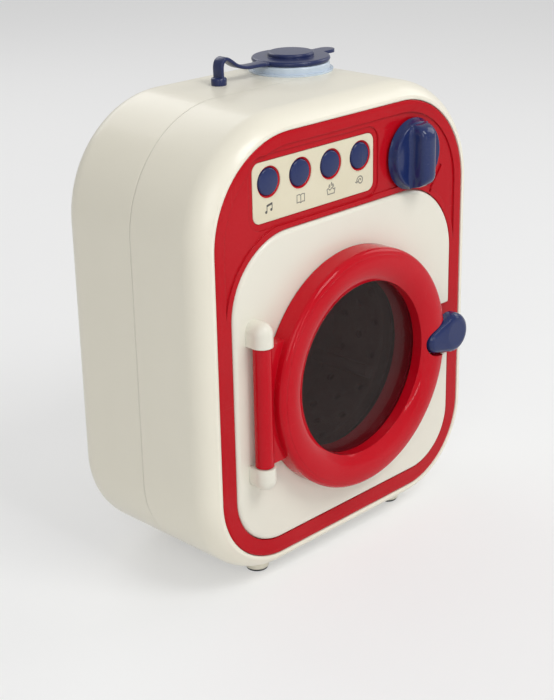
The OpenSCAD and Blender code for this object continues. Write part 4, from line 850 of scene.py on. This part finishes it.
def button_hole(number, x, z):
    """Edges of a button's hole: the printed film reaching in to it, and the red lip below."""
    for kind, profile, material, slot in (
        ("film_edge", FILM_EDGE, label, "label"), ("button_lip", BUTTON_LIP, red_ring, "red"),
    ):
        verts = circle_rows([(r, -d) for r, d in profile], HOLE_SIDES, about_front(x, z))
        faces = skin(len(profile), HOLE_SIDES, closed=True)
        obj = new_mesh(f"{kind}_{number}", verts, faces)
        paint(obj, material)
        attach(obj, "machine")


frame_edge()
knob_grip()
for i, x in enumerate(BUTTON_X, 1):
    button_cap(i, x, BUTTON_Z)
    button_hole(i, x, BUTTON_Z)

# ---- Cap tether --------------------------------------------------------------------

TETHER = [  # x, z in mm, from the stud up over the arch and down to the cap
    (-18, 218.6), (-18, 222.3), (-18, 225.9), (-17.1, 228.2), (-14.9, 229.1), (-12.4, 227.9),
    (-9, 225.6), (-5.4, 224.15), (-1, 223.3), (4, 223.15), (10.4, 223.15),
]
TETHER_Y = 24.45
TETHER_STEP = 0.6
STRAP_CORNER = (2.5, 0.35)  # middle of the rounded corner, across and through the strap
STRAP_ROUND = 0.5
FLARE_FROM, FLARE_LONG = 4.5, 6  # x at which the strap starts to spread, and its reach
STUD_X = -18
STUD_SIDES = 40
STUD = [  # radius, height over the housing
    (0.0, 3.5), (2.6, 3.5), (3.1, 3.4), (3.45, 3.1), (3.6, 2.7), (3.6, 0.5), (3.5, 0.2),
    (3.5, -0.2),
]


def soft_tether():
    """Soft strap over an arch from the stud to the cap, with its stud."""
    path, _ = smooth_route(TETHER, TETHER_STEP, TETHER_Y)
    section = []
    for quarter, (u, v) in enumerate(((1, 1), (-1, 1), (-1, -1), (1, -1))):
        for k in range(4):
            a = math.radians(90 * quarter + 30 * k)
            section.append((
                u * STRAP_CORNER[0] + STRAP_ROUND * math.cos(a),
                v * STRAP_CORNER[1] + STRAP_ROUND * math.sin(a),
            ))
    n, verts = len(section), []
    for i, p in enumerate(path):
        up = Vector((0, 1, 0)).cross(heading(path, i))
        wide = 1 + 0.5 * max(0.0, (p.x - FLARE_FROM) / FLARE_LONG) ** 2
        verts += [p + Vector((0, a * wide, 0)) + up * b for a, b in section]
    faces = skin(len(path), n, flip=True)
    faces += [lid(0, n), lid(len(verts) - n, n, flip=True)]
    base = len(verts)
    stud_verts, stud_faces = turned_body(
        STUD, STUD_SIDES,
        lambda r, h, a: (STUD_X + r * math.cos(a), TETHER_Y + r * math.sin(a), BODY_TOP + h),
    )
    verts += stud_verts
    faces += [tuple(base + k for k in face) for face in stud_faces]
    obj = new_mesh("tether_strap", verts, faces)
    paint(obj, navy_soft)
    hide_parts("cap_tether")
    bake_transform(obj)


soft_tether()

# ---- Floor and light ---------------------------------------------------------------

FLOOR_LIFT = 0.4  # share of plain white that the floor shows to the camera
SKY_LIGHT, SKY_SEEN = 0.38, 0.60  # the world's level as a light, and as it is seen

floor_graph = Graph("studio_floor")
floor_tone = floor_graph.noise(3, 3, 0.5)
floor_graph.set(
    Base_Color=floor_graph.mix(floor_tone, (0.86, 0.86, 0.86, 1), (0.88, 0.88, 0.875, 1)),
    Roughness=floor_graph.span(floor_graph.noise(40), 0.3, 0.7, 0.7, 0.8),
    Normal=floor_graph.bump(floor_graph.noise(300), 0.02 * MM),
)
# the floor looks paler to the camera, in gloss and through the window; it keeps its shadow
paper = floor_graph.add("Emission")
paper.inputs["Strength"].default_value = 1.0
lifted = floor_graph.add("MixShader")
seen = seen_directly(floor_graph.tree)
floor_graph.put(lifted.inputs[0], floor_graph.math("MULTIPLY", seen, FLOOR_LIFT))
floor_graph.put(lifted.inputs[1], floor_graph.shader.outputs[0])
floor_graph.put(lifted.inputs[2], paper.outputs[0])
floor_graph.put(floor_graph.tree.nodes["Material Output"].inputs["Surface"], lifted.outputs[0])
bpy.ops.mesh.primitive_plane_add(size=12, location=(0, 0, -0.0002))
floor = bpy.context.object
floor.name = "studio_floor"
paint(floor, floor_graph.material)

# the world, too, looks paler where it is seen than it is as a light
world = bpy.data.worlds.new("studio_world")
scene.world = world
world.use_nodes = True
sky = world.node_tree
background = sky.nodes["Background"]
background.inputs["Color"].default_value = (1, 1, 1, 1)
level = sky.nodes.new("ShaderNodeMapRange")
level.inputs["To Min"].default_value = SKY_LIGHT
level.inputs["To Max"].default_value = SKY_SEEN
sky.links.new(level.inputs["Value"], seen_directly(sky))
sky.links.new(background.inputs["Strength"], level.outputs["Result"])

CENTRE = (0.01, 0.0, 0.12)
LAMPS = (  # name, place, width, height, watts
    ("key_softbox", (0.10, -0.95, 1.25), 0.6, 0.6, 8.7),
    ("fill_softbox", (-0.98, -0.80, 0.72), 0.6, 0.8, 3.5),
    ("front_strip", (-0.10, -1.35, 0.36), 0.10, 0.55, 1.1),
    ("right_softbox", (1.0, -0.3, 0.7), 0.6, 0.6, 2.2),
    ("back_softbox", (0.25, 1.1, 0.9), 0.9, 0.6, 3.0),
)
for name, place, width, height, watts in LAMPS:
    data = bpy.data.lights.new(name, "AREA")
    data.energy = watts
    data.shape = "RECTANGLE"
    data.size = width
    data.size_y = height
    light = bpy.data.objects.new(name, data)
    scene.collection.objects.link(light)
    light.location = place
    towards = Vector(CENTRE) - Vector(place)
    light.rotation_euler = towards.to_track_quat("-Z", "Y").to_euler()

scene.view_settings.view_transform = "Standard"
